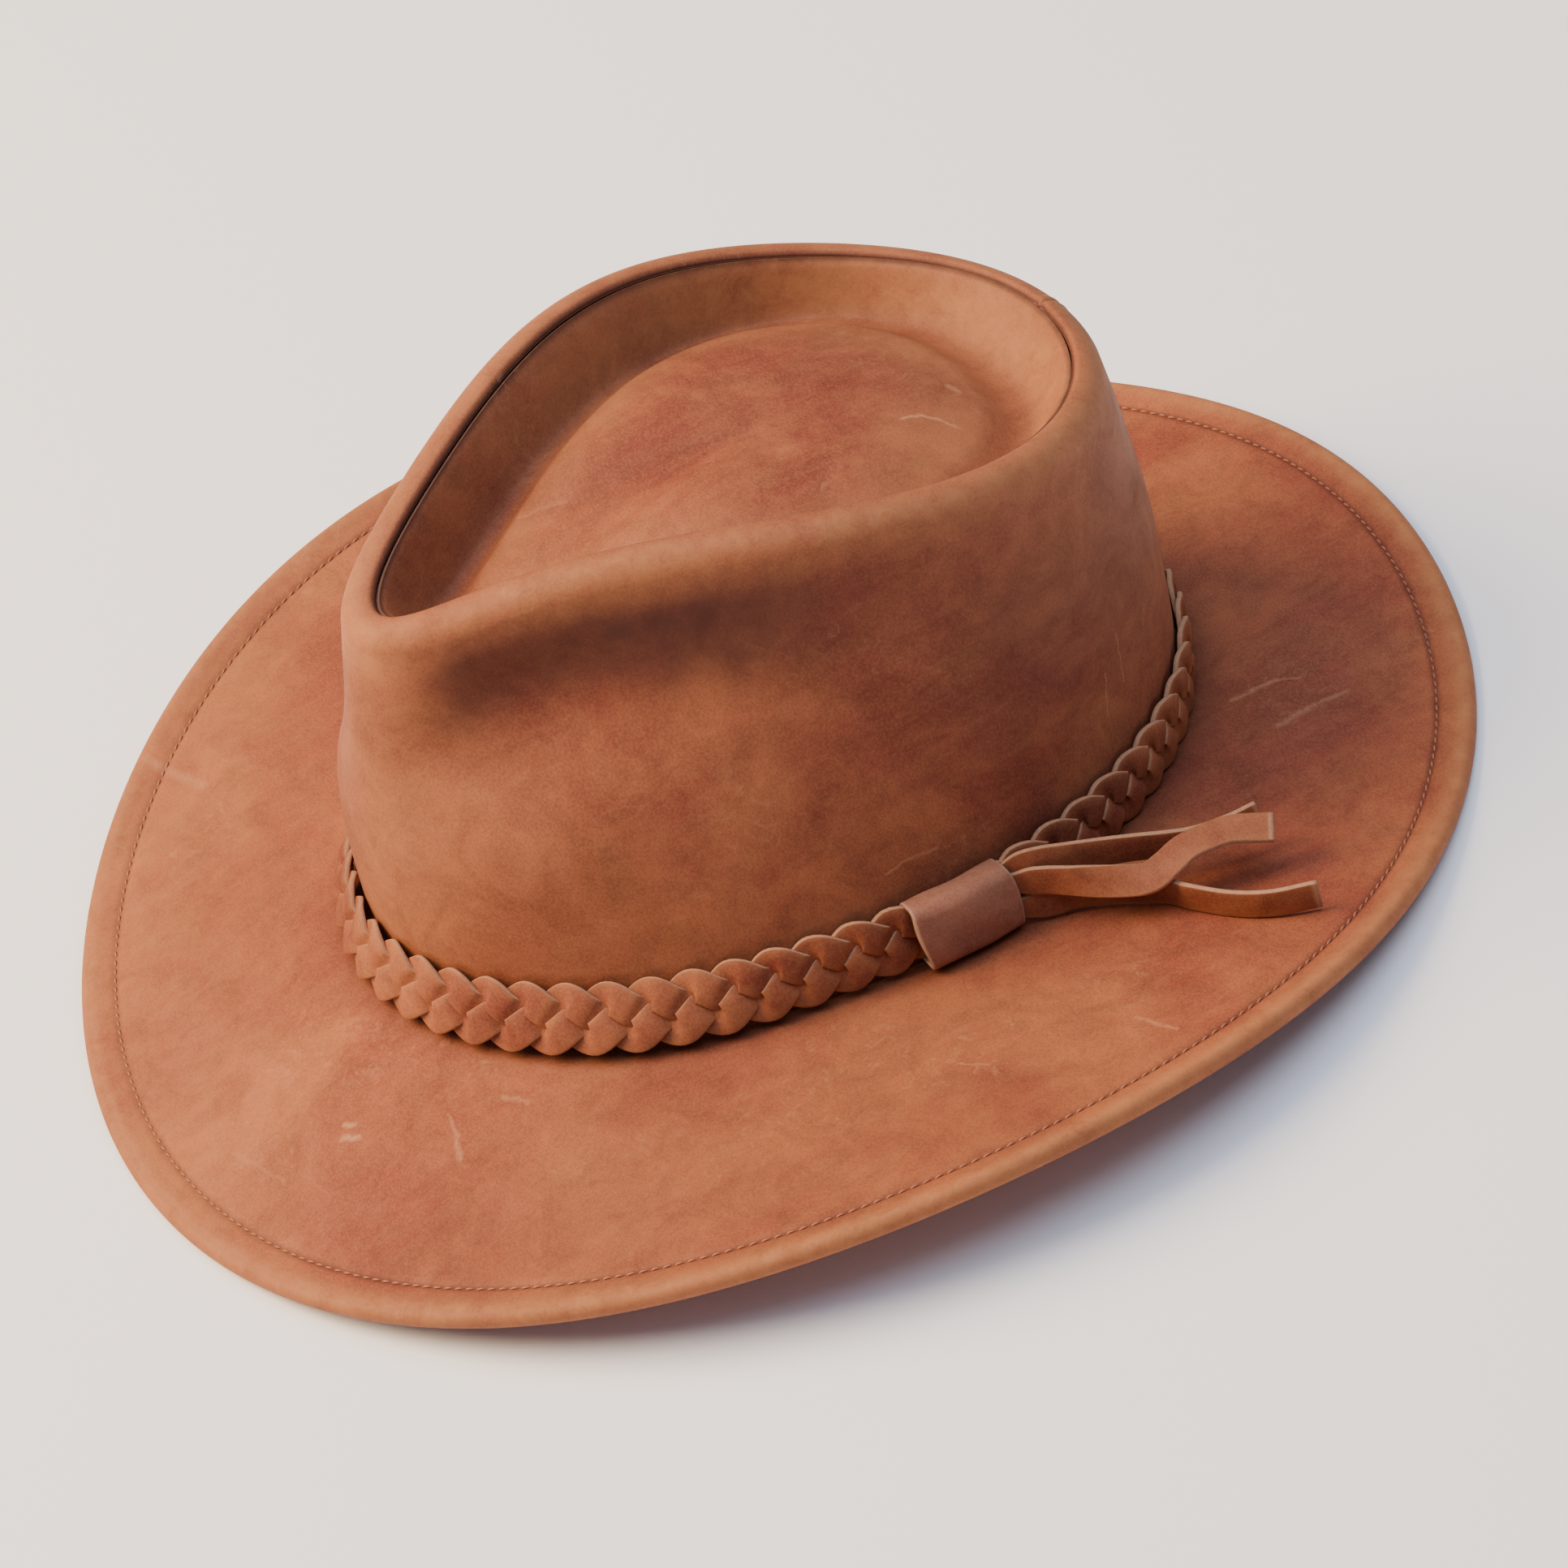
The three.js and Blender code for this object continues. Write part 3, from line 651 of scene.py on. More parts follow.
# The same for the crown: real rub on the rolled rim, dark seams, painted light at the front
# pinch, and painted shade at the wall's foot, under the rim over the dents and on the wall behind
# them. Starts, ends, deepening, fading and the pinch's paling are in degrees from the front; the
# others are in shares of the wall's height or of the way over the rim.
crownWearAndPaintedShading = {
    "rimRub": (0.45, 0.42, 0.7),
    "underRimRub": [0.1, 0.2, 0.3, 0.4],
    "paintedFootShade": (0, 0.12, 0.5),
    "dentStart": (19, 13),
    "dentEnd": (72, 34),
    "dentDeepens": (42, 22),
    "dentFrontShare": 0.85,
    "dentDeeper": 0.25,
    "paintedHighDentShade": (0.92, 0.07, 0.75),
    "paintedLowDentShade": (0.81, 0.08, 0.68),
    "behindStart": (88, 28),
    "behindFade": (135, 25),
    "behindFadeShare": 0.6,
    "paintedBehindShade": (0.65, 0.32, 0.45),
    "paintedPinchLight": (0, 19, 0.35),
    "pinchUp": (0, 0.3),
    "joinDark": 0.7,
    "seamDark": [0.25, 0.8, 1],
    "seamRubShares": [0.6, 0.1, 0],
    "cutEdge": 0.6,
}
crestSpread = aroundHat(crown["spreads"])
crestLift = aroundHat(crown["heights"])
fullness = aroundHat(crown["fullnessShares"])
rimEndShare = aroundHat(crown["rimEndShares"])


def crestPoint(angle):
    height = crown["crestHeight"] * crestLift(angle) - crown["crestLean"] * np.sin(angle)
    return np.stack([crown["crestHalfWidth"] * crestSpread(angle) * np.sin(angle),
                     crown["crestSetBack"] - crown["crestHalfLength"] * np.cos(angle),
                     height], -1)


def degreesFromFront(angle):
    return np.abs((np.degrees(angle) + 180) % 360 - 180)


def outwardOf(line, angle):
    along = line(angle + 0.01) - line(angle - 0.01)
    return unit(np.stack([along[..., 1], -along[..., 0], 0 * along[..., 0]], -1))


def crestOutward(angle):
    return outwardOf(crestPoint, angle)


def rimPoint(angle, degrees, radius):
    around = np.radians(degrees)
    point = crestPoint(angle) + crestOutward(angle) * (radius * np.cos(around))[..., None]
    point[..., 2] += seatGap + radius * np.sin(around)
    return point


def wallPoint(angle, share):
    base = footOval(angle, 0)
    base[..., 2] += seatGap
    top = rimPoint(angle, np.full_like(angle, crown["rimStart"]), crown["rimRadius"])
    point = mix(base, top, share[..., None])
    fromFront = degreesFromFront(angle)
    arch = np.sin(np.pi * np.clip(share, 0, 1))
    full = crown["fullness"] * fullness(angle) * arch
    dent = (crown["dentDepth"] * bump(fromFront, crown["dentAngle"], crown["dentSpread"])
            * bump(share, crown["dentShare"], crown["dentShareSpread"]) * np.sqrt(arch))
    uneven = crown["unevenness"] * arch * softWave(point, crown["waveSize"], crown["waveSeed"])
    return point + crestOutward(angle) * (full - dent + uneven)[..., None]


def buildCrownSide():
    evenly = np.linspace(0, turn, crown["sections"], endpoint=False)
    nearJoin = math.pi + np.linspace(-crown["joinSpan"], crown["joinSpan"], crown["joinSections"])
    angle = np.unique(np.concatenate([evenly, nearJoin]))[:, None]
    rows = len(angle)
    shares = np.linspace(0, 1, crown["wallRows"])[None, :]
    wallAngle = angle + 0 * shares
    wall = wallPoint(wallAngle, shares + 0 * angle)
    rimEnd = crown["rimEnd"] * rimEndShare(angle)
    overRim = np.linspace(0, 1, crown["rimRows"])[None, 1:]
    degrees = mix(crown["rimStart"], rimEnd, overRim)
    rimAngle = angle + 0 * degrees
    intoSeam = smoothStep((degrees - rimEnd + crown["seamSpan"]) / crown["seamSpan"])
    rim = rimPoint(rimAngle, degrees, crown["rimRadius"] - crown["seamDip"] * intoSeam)
    innerRadius = crown["rimRadius"] - crown["wall"]
    innerRim = rimPoint(rimAngle, degrees, innerRadius)
    outward = crestOutward(wallAngle)
    rise = np.gradient(wall, axis=1)
    run = (rise * outward).sum(-1)
    length = np.hypot(run, rise[..., 2])
    lining = wall - outward * (crown["wall"] * rise[..., 2] / length)[..., None]
    lift = crown["wall"] * run / length
    lift[:, 0] = 0
    lining[..., 2] += lift
    outer = np.concatenate([wall, rim], 1)
    inner = np.concatenate([lining, innerRim], 1)[:, ::-1]
    lipMiddle = (outer[:, -1:] + inner[:, :1]) / 2
    points = np.concatenate([outer, lipMiddle, inner], 1)
    count = outer.shape[1]
    wallCount = wall.shape[1]
    fromBack = np.abs((angle - math.pi) * crown["backRadius"])
    lip = bump(fromBack, crown["joinLipPlace"], crown["joinLipWidth"])
    groove = crown["joinDip"] * (bump(fromBack, 0, crown["joinWidth"])
                                 - crown["joinLipShare"] * lip)
    points[:, :count] -= crestOutward(angle) * groove[..., None]

    wearAndShading = crownWearAndPaintedShading
    fromFront = degreesFromFront(angle)
    wearAndLight = np.zeros(points.shape[:2])
    wearAndLight[:, wallCount:count] = bump(np.linspace(0.1, 1, count - wallCount), *wearAndShading["rimRub"])
    wearAndLight[:, wallCount - len(wearAndShading["underRimRub"]):wallCount] = wearAndShading["underRimRub"]
    # painted light: the front pinch paler, where the wall faces the key lamp
    wearAndLight[:, :wallCount] += bump(fromFront, *wearAndShading["paintedPinchLight"]) * ramp(shares, *wearAndShading["pinchUp"])
    wearAndLight[:, count - 3:count] *= wearAndShading["seamRubShares"]
    # painted shade: the wall's foot beside the brim, under the rolled rim over the dents, deeper
    # further back, and the wall behind the dents, which faces away from the key lamp
    alongDent = ramp(fromFront, *wearAndShading["dentStart"]) * (1 - ramp(fromFront, *wearAndShading["dentEnd"]))
    overDent = bump(shares, *wearAndShading["paintedHighDentShade"]) + bump(shares, *wearAndShading["paintedLowDentShade"])
    deepening = wearAndShading["dentFrontShare"] + wearAndShading["dentDeeper"] * ramp(fromFront, *wearAndShading["dentDeepens"])
    behind = ramp(fromFront, *wearAndShading["behindStart"])
    behind = behind * (1 - wearAndShading["behindFadeShare"] * ramp(fromFront, *wearAndShading["behindFade"]))
    shadeAndSeams = np.zeros_like(wearAndLight)
    shadeAndSeams[:, :wallCount] = (bump(shares, *wearAndShading["paintedFootShade"]) + alongDent * overDent * deepening
                             + behind * bump(shares, *wearAndShading["paintedBehindShade"]))
    shadeAndSeams[:, :count] += wearAndShading["joinDark"] * bump(fromBack, 0, crown["joinWidth"])
    shadeAndSeams[:, count - 3:count] = wearAndShading["seamDark"]
    flesh = np.zeros_like(wearAndLight)
    flesh[:, count + 1:] = 1
    cut = np.zeros_like(wearAndLight)
    cut[:, count] = wearAndShading["cutEdge"]
    marks = {"wearAndLight": wearAndLight, "shadeAndSeams": np.clip(shadeAndSeams, 0, 1), "flesh": flesh, "cutEdge": cut}
    faces = gridFaces(rows, points.shape[1], True, True)
    meshPiece("crown_wall_leather", points, faces, crownLeather, marks,
              "crown_side")


buildCrownSide()
print("crown wall made")

# sunken top
top = {
    "thickness": 2.0,
    "depth": 19.6,
    "domeRise": 11.0,
    "domeSetBack": 27.0,
    "domeSink": 0.425,
    "domePower": 4,
    "domeStart": 1 / 6,
    "depthShares": [0.675, 0.845, 0.92, 1, 0.79, 0.6, 0.53],
    "valleyShares": [0.096, 0.116, 0.14, 0.126, 0.11, 0.152, 0.2],
    "fallRoundness": 0.4,
    "seamWidth": 1.8,
    "unevenness": 0.3,
    "waveSize": 30.0,
    "waveSeed": 21,
    "evenEdge": 1 / 6,
    "sections": 360,
    "valleyRows": 30,
    "valleyCrowding": 1.3,
    "domeRows": 34,
    "domeCrowding": 1.2,
}
# The same for the top: painted shade at the valley's bottom and on the back of the dome, a dark
# seam at the edge, real rub on the dome's shoulder, and on the inner wall real rub with painted
# light growing towards the back. In shares of the way down the valley or up the dome; what ends
# in Back runs from front to back in millimetres.
topWearAndPaintedShading = {
    "paintedValleyShade": (0.9, 0.35, 0.3),
    "seamDark": (0, 0.012, 1),
    "paintedDomeBackShade": 0.25,
    "domeRamp": (0.1, 0.2),
    "domeRampBack": (25, 40),
    "domeRub": (0.2, 0.13, 0.35),
    "wallRubAndLight": (0.45, 0.45, 1),
    "wallRubFront": 0.25,
    "paintedWallLight": 0.55,
    "wallRampBack": (-10, 60),
}
dishSink = aroundHat(top["depthShares"])
valleyShare = aroundHat(top["valleyShares"])


def dishEdge(angle, radius):
    degrees = crown["rimEnd"] * rimEndShare(angle)
    end = np.radians(degrees)
    point = rimPoint(angle, degrees, radius)
    point = point - crestOutward(angle) * (seatGap * np.sin(end))[..., None]
    point[..., 2] += seatGap * np.cos(end)
    return point


def dishPoint(angle, share):
    start = dishEdge(angle, crown["rimRadius"])
    middle = np.array([0, top["domeSetBack"], 0])
    point = mix(start, middle, share[..., None])
    valley = valleyShare(angle)
    floor = start[..., 2] - top["depth"] * dishSink(angle)
    heights = crestPoint(np.array([math.pi / 3, math.pi]))[:, 2]
    level = heights.mean() - top["depth"] * top["domeSink"]
    down = np.clip(share / valley, 0, 1)
    fall = mix((1 - np.cos(np.pi * down)) / 2, 1 - (1 - down) ** 2, top["fallRoundness"])
    inside = np.clip((share - valley) / (1 - valley), 0, 1)
    dome = top["domeRise"] * (1 - (1 - inside) ** top["domePower"])
    dome = dome * ramp(inside, 0, top["domeStart"])
    point[..., 2] = np.where(share < valley, mix(start[..., 2], floor, fall),
                             mix(floor, level, inside) + dome)
    uneven = top["unevenness"] * ramp(share, 0, top["evenEdge"])
    point[..., 2] += uneven * softWave(point, top["waveSize"], top["waveSeed"])
    fromSeam = share * np.linalg.norm((middle - start)[..., :2], axis=-1)
    point[..., 2] -= crown["seamDip"] * (1 - ramp(fromSeam, 0, top["seamWidth"]))
    return point


def buildCrownTop():
    rows = top["sections"]
    angle = np.linspace(0, turn, rows, endpoint=False)[:, None]
    valley = valleyShare(angle)
    downValley = np.linspace(0, 1, top["valleyRows"])[None, :]
    overDome = np.linspace(0, 1, top["domeRows"])[None, 1:-1]
    wallPart = downValley ** top["valleyCrowding"] * valley
    domePart = 1 - (1 - valley) * (1 - overDome ** top["domeCrowding"])
    shares = np.concatenate([wallPart, domePart], 1)
    spreadAngle = angle + 0 * shares
    upper = dishPoint(spreadAngle, shares)
    along = dishPoint(spreadAngle + 0.01, shares) - dishPoint(spreadAngle - 0.01, shares)
    inward = (dishPoint(spreadAngle, shares + 0.004)
              - dishPoint(spreadAngle, np.maximum(0, shares - 0.004)))
    normal = unit(np.cross(along, inward))
    normal *= np.where(normal[..., 2:3] > 0, -1, 1)
    lower = upper + normal * top["thickness"]
    lower[:, 0] = dishEdge(angle[:, 0], crown["rimRadius"] - top["thickness"])
    ring = np.concatenate([upper[:, ::-1], lower], 1)
    count = ring.shape[1]
    centre = dishPoint(np.array([0.0]), np.array([1.0]))
    points = np.concatenate([ring.reshape(-1, 3), centre, centre - [0, 0, top["thickness"]]])
    faces = gridFaces(rows, count, True, False)
    last = rows * count
    for i in range(rows):
        j = (i + 1) % rows
        faces.append((i * count, j * count, last))
        faces.append((j * count + count - 1, i * count + count - 1, last + 1))
    inside = np.clip((shares - valley) / (1 - valley), 0, 1)
    wearAndShading = topWearAndPaintedShading
    downValley = shares / valley
    y = upper[..., 1]
    # painted shade at the bottom of the valley and towards the back of the dome, beside the dark
    # seam at the edge
    shadeAndSeams = bump(downValley, *wearAndShading["paintedValleyShade"]) + bump(shares, *wearAndShading["seamDark"])
    shadeAndSeams += wearAndShading["paintedDomeBackShade"] * ramp(inside, *wearAndShading["domeRamp"]) * ramp(y, *wearAndShading["domeRampBack"])
    # the inner wall paler: real rub where it bends, and painted light growing towards the back,
    # where it faces the key lamp
    wallRubAndLight = wearAndShading["wallRubFront"] + wearAndShading["paintedWallLight"] * ramp(y, *wearAndShading["wallRampBack"])
    wearAndLight = bump(inside, *wearAndShading["domeRub"]) + wallRubAndLight * bump(downValley, *wearAndShading["wallRubAndLight"])
    none = np.zeros_like(shadeAndSeams)
    marks = {}
    for markName, above, below in (("wearAndLight", wearAndLight, none), ("shadeAndSeams", shadeAndSeams, none),
                                   ("flesh", none, none + 1)):
        ringValues = np.concatenate([above[:, ::-1], below], 1)
        marks[markName] = np.append(ringValues, [0, 0])
    meshPiece("crown_top_leather", points, faces, crownLeather, marks,
              "crown_top")


buildCrownTop()
print("sunken top made")

# braided band
# The frame's sizes are those of the solids, which set how far the braid stands off the crown; the
# others are those of the laces as they are drawn.
band = {
    "frameThickness": 1.05,
    "frameWeave": 2.3,
    "strandWidth": 7.9,
    "strandThickness": 1.35,
    "closer": 1.1,
    "leanOut": 23.0,
    "leanShift": 2.3,
    "leanDrop": 0.9,
    "leanStart": (-110, 50),
    "leanEnd": (45, 35),
    "swing": 4.15,
    "swingSharpness": 0.12,
    "step": 0.8,
    "foldQuickness": 2.4,
    "foldLag": 22.0,
    "underBias": 0.34,
    "pitch": 30.5,
    "clear": 0.8,
    "lead": 10.0,
    "liftShare": 0.7,
    "keptWidth": 5.4,
    "keptRamp": (-5, 6),
    "startWidth": 5.0,
    "startRamp": (-5, 7),
    "tailWidth": 7.6,
    "tuck": 6.0,
    "edgeDroop": 0.3,
    "edgeRub": 0.5,
    "endCut": 0.7,
    "tuckCuts": 24,
    "cutsPerPitch": 48,
    "keptCuts": 44,
    "tailCuts": 12,
    "tailWidens": 9,
}
keeper = {
    "length": 25.0,
    "wall": 1.2,
    "halfHeight": 7.8,
    "halfDepth": 2.95,
    "corner": 1.7,
    "unevenness": 0.3,
    "waveSize": 13.0,
    "waveSeed": 5,
    "bulge": 1.3,
    "bulgeAtEnds": 0.4,
    "raggedEnds": 0.5,
    "raggedSize": 3.7,
    "angle": 92.5,
    "shift": 0.8,
    "wearAndLight": 0.3,
    "cutEdge": 0.6,
    "rows": 40,
    "cornerCuts": 9,
    "sideCuts": 11,
}
# The three free ends after the keeper: along the band, out, up, and degrees that the face turns up.
tails = {
    "upper": [(6, 4.2, 6.4, 8), (14.8, 8.2, 4.2, 6), (26.5, 13.4, 0.9, 0), (39, 20.5, -2.1, 0),
              (48.1, 23.7, -3.1, 0), (55.4, 25.8, -3.1, 4)],
    "middle": [(6.1, 7.2, 2.6, 4), (10.9, 12.8, 2, 14), (17.3, 19, 0.6, 38), (23.3, 24.2, 0, 62),
               (28.5, 25.2, 1, 74), (34.2, 25.4, 2, 78), (39.7, 26.8, 2, 80), (45.7, 29.2, 1.5, 78),
               (52.9, 35, 0, 74)],
    "lower": [(7, 7, -5, 8), (13, 10, -5.2, 5), (20, 16.4, -5.8, 2), (26.4, 24.6, -6, 0),
              (29.1, 31.6, -6, 0), (33.6, 40.9, -6, 0), (39.6, 48.3, -6, 0), (48.4, 54.5, -6, 0)],
}
keptSeats = {
    "upper": {"order": 2, "across": 4.9, "layer": 0},
    "middle": {"order": 0, "across": 2.6, "layer": 1},
    "lower": {"order": 1, "across": -4.9, "layer": 1},
}


def bandDirections(angle):
    level = outwardOf(lambda around: footOval(around, 0), angle)
    rise = wallPointPlain(angle, 0.14) - wallPointPlain(angle, 0.0)
    lean = np.arctan2(-(rise * level).sum(-1), rise[..., 2])
    up = np.array([0, 0, 1.0])
    across = up * np.cos(lean)[..., None] - level * np.sin(lean)[..., None]
    out = level * np.cos(lean)[..., None] + up * np.sin(lean)[..., None]
    return level, lean, across, out


def wallPointPlain(angle, share):
    base = footOval(angle, 0)
    base[..., 2] += seatGap
    topPoint = rimPoint(angle, np.full_like(angle, crown["rimStart"]), crown["rimRadius"])
    full = crown["fullness"] * fullness(angle) * math.sin(math.pi * share)
    return mix(base, topPoint, share) + crestOutward(angle) * full[..., None]


def bandPoint(angle):
    _, lean, across, out = bandDirections(angle)
    halfHeight = keeper["halfHeight"] + keeper["wall"]
    halfDepth = keeper["halfDepth"] + keeper["wall"]
    lift = seatGap / np.cos(lean) + halfHeight + halfDepth * np.tan(np.abs(lean))
    seat = band["frameWeave"] + band["frameThickness"] / 2 + band["clear"]
    return footOval(angle, 0) + across * lift[..., None] + out * seat


bandAngles = math.radians(keeper["angle"]) + np.linspace(-0.2, 2.2, 2401) * turn
bandSteps = np.linalg.norm(np.diff(bandPoint(bandAngles), axis=0), axis=1)
bandLengths = np.concatenate([[0], np.cumsum(bandSteps)])
bandLengths -= np.interp(math.radians(keeper["angle"]), bandAngles, bandLengths)
bandLength = float(np.interp(math.radians(keeper["angle"]) + turn, bandAngles, bandLengths))


def onBand(length, across, out):
    angle = np.interp(length, bandLengths, bandAngles)
    _, _, acrossWay, outWay = bandDirections(angle)
    return bandPoint(angle) + acrossWay * across[..., None] + outWay * out[..., None]


def onBraid(length, across, out):
    # round the front the braid leans out and rests on the brim with its lower edge
    degrees = (np.degrees(np.interp(length, bandLengths, bandAngles)) + 180) % 360 - 180
    front = ramp(degrees, *band["leanStart"]) * (1 - ramp(degrees, *band["leanEnd"]))
    lean = np.radians(band["leanOut"]) * front
    leaned = across * np.cos(lean) + out * np.sin(lean) - band["leanDrop"] * front
    outLeaned = out * np.cos(lean) - across * np.sin(lean) + band["leanShift"] * front
    return onBand(length, leaned, outLeaned)


mouth = keeper["length"] / 2
braidedLength = bandLength - keeper["length"] - band["lead"]
pitches = round(braidedLength / band["pitch"])
phasePerLength = turn * pitches / braidedLength


def braidPhase(length):
    # even turns all the way; the braid runs on inside the keeper and stops there
    fromStart = np.clip(length - mouth, -band["tuck"], bandLength - keeper["length"] + band["tuck"])
    return phasePerLength * (fromStart - band["lead"] / 2)


def weaveDepth(phase):
    # a strand lies over its neighbours for a third of the way, folds quickly and lies under them
    lag = math.radians(band["foldLag"])
    wave = band["foldQuickness"] * (np.sin(2 * phase + lag) + band["underBias"])
    highest = math.tanh(band["foldQuickness"] * (1 + band["underBias"]))
    lowest = math.tanh(band["foldQuickness"] * (band["underBias"] - 1))
    return -band["step"] * (2 * (np.tanh(wave) - lowest) / (highest - lowest) - 1)


def strandPlace(seat, length):
    phase = math.pi + turn * seat["order"] / 3 + braidPhase(length)
    swing = band["swing"] * (np.sin(phase) - band["swingSharpness"] * np.sin(3 * phase))
    fromStart = length - mouth
    fromEnd = bandLength - mouth - length
    layerStep = band["frameThickness"] + 2 * seatGap
    woven = weaveDepth(phase) - band["closer"]
    lifted = mix(-layerStep, woven, ramp(fromStart, 0, band["lead"] * band["liftShare"]))
    kept = ramp(-fromEnd, 0, keeper["length"])
    shift = keeper["shift"] * ramp(-fromEnd, 0, band["lead"])
    narrowStart = mix(band["startWidth"], band["strandWidth"], ramp(fromStart, *band["startRamp"]))
    narrowEnd = mix(band["keptWidth"], band["strandWidth"], ramp(fromEnd, *band["keptRamp"]))
    return (mix(swing, seat["across"], kept), mix(lifted, seat["layer"] * layerStep, kept) + shift,
            np.minimum(narrowStart, narrowEnd))


def catmullRom(points, shares):
    spans = len(points) - 1
    padded = np.concatenate([[2 * points[0] - points[1]], points, [2 * points[-1] - points[-2]]])
    at = np.clip(shares * spans, 0, spans - 1e-6)
    k = at.astype(int)
    t = (at - k)[:, None]
    p0, p1, p2, p3 = (padded[k + i] for i in range(4))
    return 0.5 * (2 * p1 + (p2 - p0) * t + (2 * p0 - 5 * p1 + 4 * p2 - p3) * t ** 2
                  + (3 * p1 - p0 - 3 * p2 + p3) * t ** 3)


# One lace section: across and face shares of the half width and half thickness, then how much of
# the raw cut edge and of the flesh side shows there.
laceSection = [
    (0.92, 1.04, 0, 0), (0.75, 1.12, 0, 0), (0.4, 1.22, 0, 0), (0.13, 1.25, 0, 0),
    (-0.13, 1.25, 0, 0), (-0.4, 1.22, 0, 0), (-0.75, 1.12, 0, 0), (-0.92, 1.04, 0, 0),
    (-0.97, 0.98, 0.1, 0), (-0.99, 0.8, 1, 0), (-1, -0.2, 1, 0), (-0.99, -0.8, 1, 0),
    (-0.94, -1, 0.3, 1), (-0.3, -1, 0, 1), (0.3, -1, 0, 1), (0.94, -1, 0.3, 1),
    (0.99, -0.8, 1, 0), (1, -0.2, 1, 0), (0.99, 0.8, 1, 0), (0.97, 0.98, 0.1, 0),
]


def buildStrand(name, seat, rows, node):
    steps = pitches * band["cutsPerPitch"]
    braidStart = mouth + band["lead"]
    braidEnd = bandLength - mouth - band["lead"]
    lengths = np.concatenate([
        np.linspace(mouth - band["tuck"], braidStart, band["tuckCuts"])[:-1],
        np.linspace(braidStart, braidEnd, steps)[:-1],
        np.linspace(braidEnd, bandLength + mouth, band["keptCuts"])])
    across, out, width = strandPlace(seat, lengths)
    ahead, _, _ = strandPlace(seat, lengths + 0.2)
    behind, _, _ = strandPlace(seat, lengths - 0.2)
    slope = (ahead - behind) / 0.4
    scale = width / 2 / np.hypot(1, slope)
    half = band["strandThickness"] / 2
    braidGrid = []
    for side, face, _, _ in laceSection:
        droop = -band["edgeDroop"] * abs(side) ** 4
        braidGrid.append(onBraid(lengths - side * slope * scale, across + side * scale,
                                 out + face * half + droop))
    braidGrid = np.stack(braidGrid, 1)

    # the free end: a smooth line from the keeper's mouth through the places listed above
    exitLength = bandLength + mouth
    beforeExit = exitLength - band["lead"] / 2
    exitAcross, exitOut, _ = strandPlace(seat, np.array([exitLength, beforeExit]))
    start = onBand(np.array([exitLength]), exitAcross[:1], exitOut[:1])
    before = onBand(np.array([beforeExit]), exitAcross[:1], exitOut[:1])
    exitAngle = np.interp(np.array([exitLength]), bandLengths, bandAngles)
    level, lean, _, _ = bandDirections(exitAngle)
    origin = bandPoint(exitAngle)[0]
    along = np.array([-level[0][1], level[0][0], 0])
    knots = [before[0], start[0]]
    knots += [origin + along * a + level[0] * o + np.array([0, 0, u]) for a, o, u, _ in rows]
    turns = [math.degrees(lean[0])] * 2 + [row[3] for row in rows]
    spans = len(knots) - 1
    shares = np.linspace(1 / spans, 1, (spans - 1) * band["tailCuts"] + 1)[1:]
    knots = np.array(knots)
    centre = catmullRom(knots, shares)
    ways = unit(catmullRom(knots, shares + 0.004) - catmullRom(knots, shares - 0.004))
    ways[-1] = ways[-2]
    lie = np.radians(np.interp(shares * spans, np.arange(spans + 1), turns))
    side = unit(np.stack([ways[:, 1], -ways[:, 0], 0 * ways[:, 0]], 1))
    upWay = np.array([0, 0, 1.0]) * np.cos(lie)[:, None] - side * np.sin(lie)[:, None]
    upWay = unit(upWay - ways * (upWay * ways).sum(1, keepdims=True))
    faceWay = unit(np.cross(ways, upWay))
    widening = smoothStep(np.arange(len(shares)) / band["tailWidens"])
    tailWidth = mix(band["keptWidth"], band["tailWidth"], widening)
    tailGrid = np.stack([centre + upWay * (s * tailWidth / 2)[:, None] + faceWay * f * half
                         for s, f, _, _ in laceSection], 1)
    grid = np.concatenate([braidGrid, tailGrid])
    count = len(laceSection)
    faces = gridFaces(len(grid), count, False, True)
    points = grid.reshape(-1, 3)
    points = np.concatenate([points, grid[:1].mean(1), grid[-1:].mean(1)])
    first = len(points) - 2
    base = (len(grid) - 1) * count
    for j in range(count):
        k = (j + 1) % count
        faces.append((k, j, first))
        faces.append((base + j, base + k, first + 1))
    cut = np.tile([row[2] for row in laceSection], len(grid))
    cut[-2 * count:] = band["endCut"]
    flesh = np.tile([row[3] for row in laceSection], len(grid))
    wearAndLight = np.tile([band["edgeRub"] * abs(row[0]) ** 3 if row[1] > 0 else 0
                   for row in laceSection], len(grid))
    marks = {"cutEdge": np.append(cut, [1, 1]), "flesh": np.append(flesh, [0, 0]),
             "wearAndLight": np.append(wearAndLight, [0, 0])}
    meshPiece(name, points, faces, laceLeather, marks, node)


for number, tail in enumerate(keptSeats, 1):
    buildStrand(f"braid_lace_{number}", keptSeats[tail], tails[tail], f"braid_strand_{number}")
print("braided band made")


# keeper
def keeperLoop(grow):
    # the rounded outline, across the band and out from it
    flatHalf = np.array([keeper["halfHeight"], keeper["halfDepth"]]) - keeper["corner"]
    radius = keeper["corner"] + grow
    corners = []
    for k, signs in enumerate(((1, 1), (-1, 1), (-1, -1), (1, -1))):
        around = np.radians(90 * k + np.linspace(0, 90, keeper["cornerCuts"]))
        corners.append(flatHalf * signs + radius * np.stack([np.cos(around), np.sin(around)], 1))
    between = np.linspace(0, 1, keeper["sideCuts"])[1:-1, None]
    loop = []
    for corner, nextCorner in zip(corners, corners[1:] + corners[:1]):
        loop += [corner, mix(corner[-1], nextCorner[0], between)]
    return np.concatenate(loop)


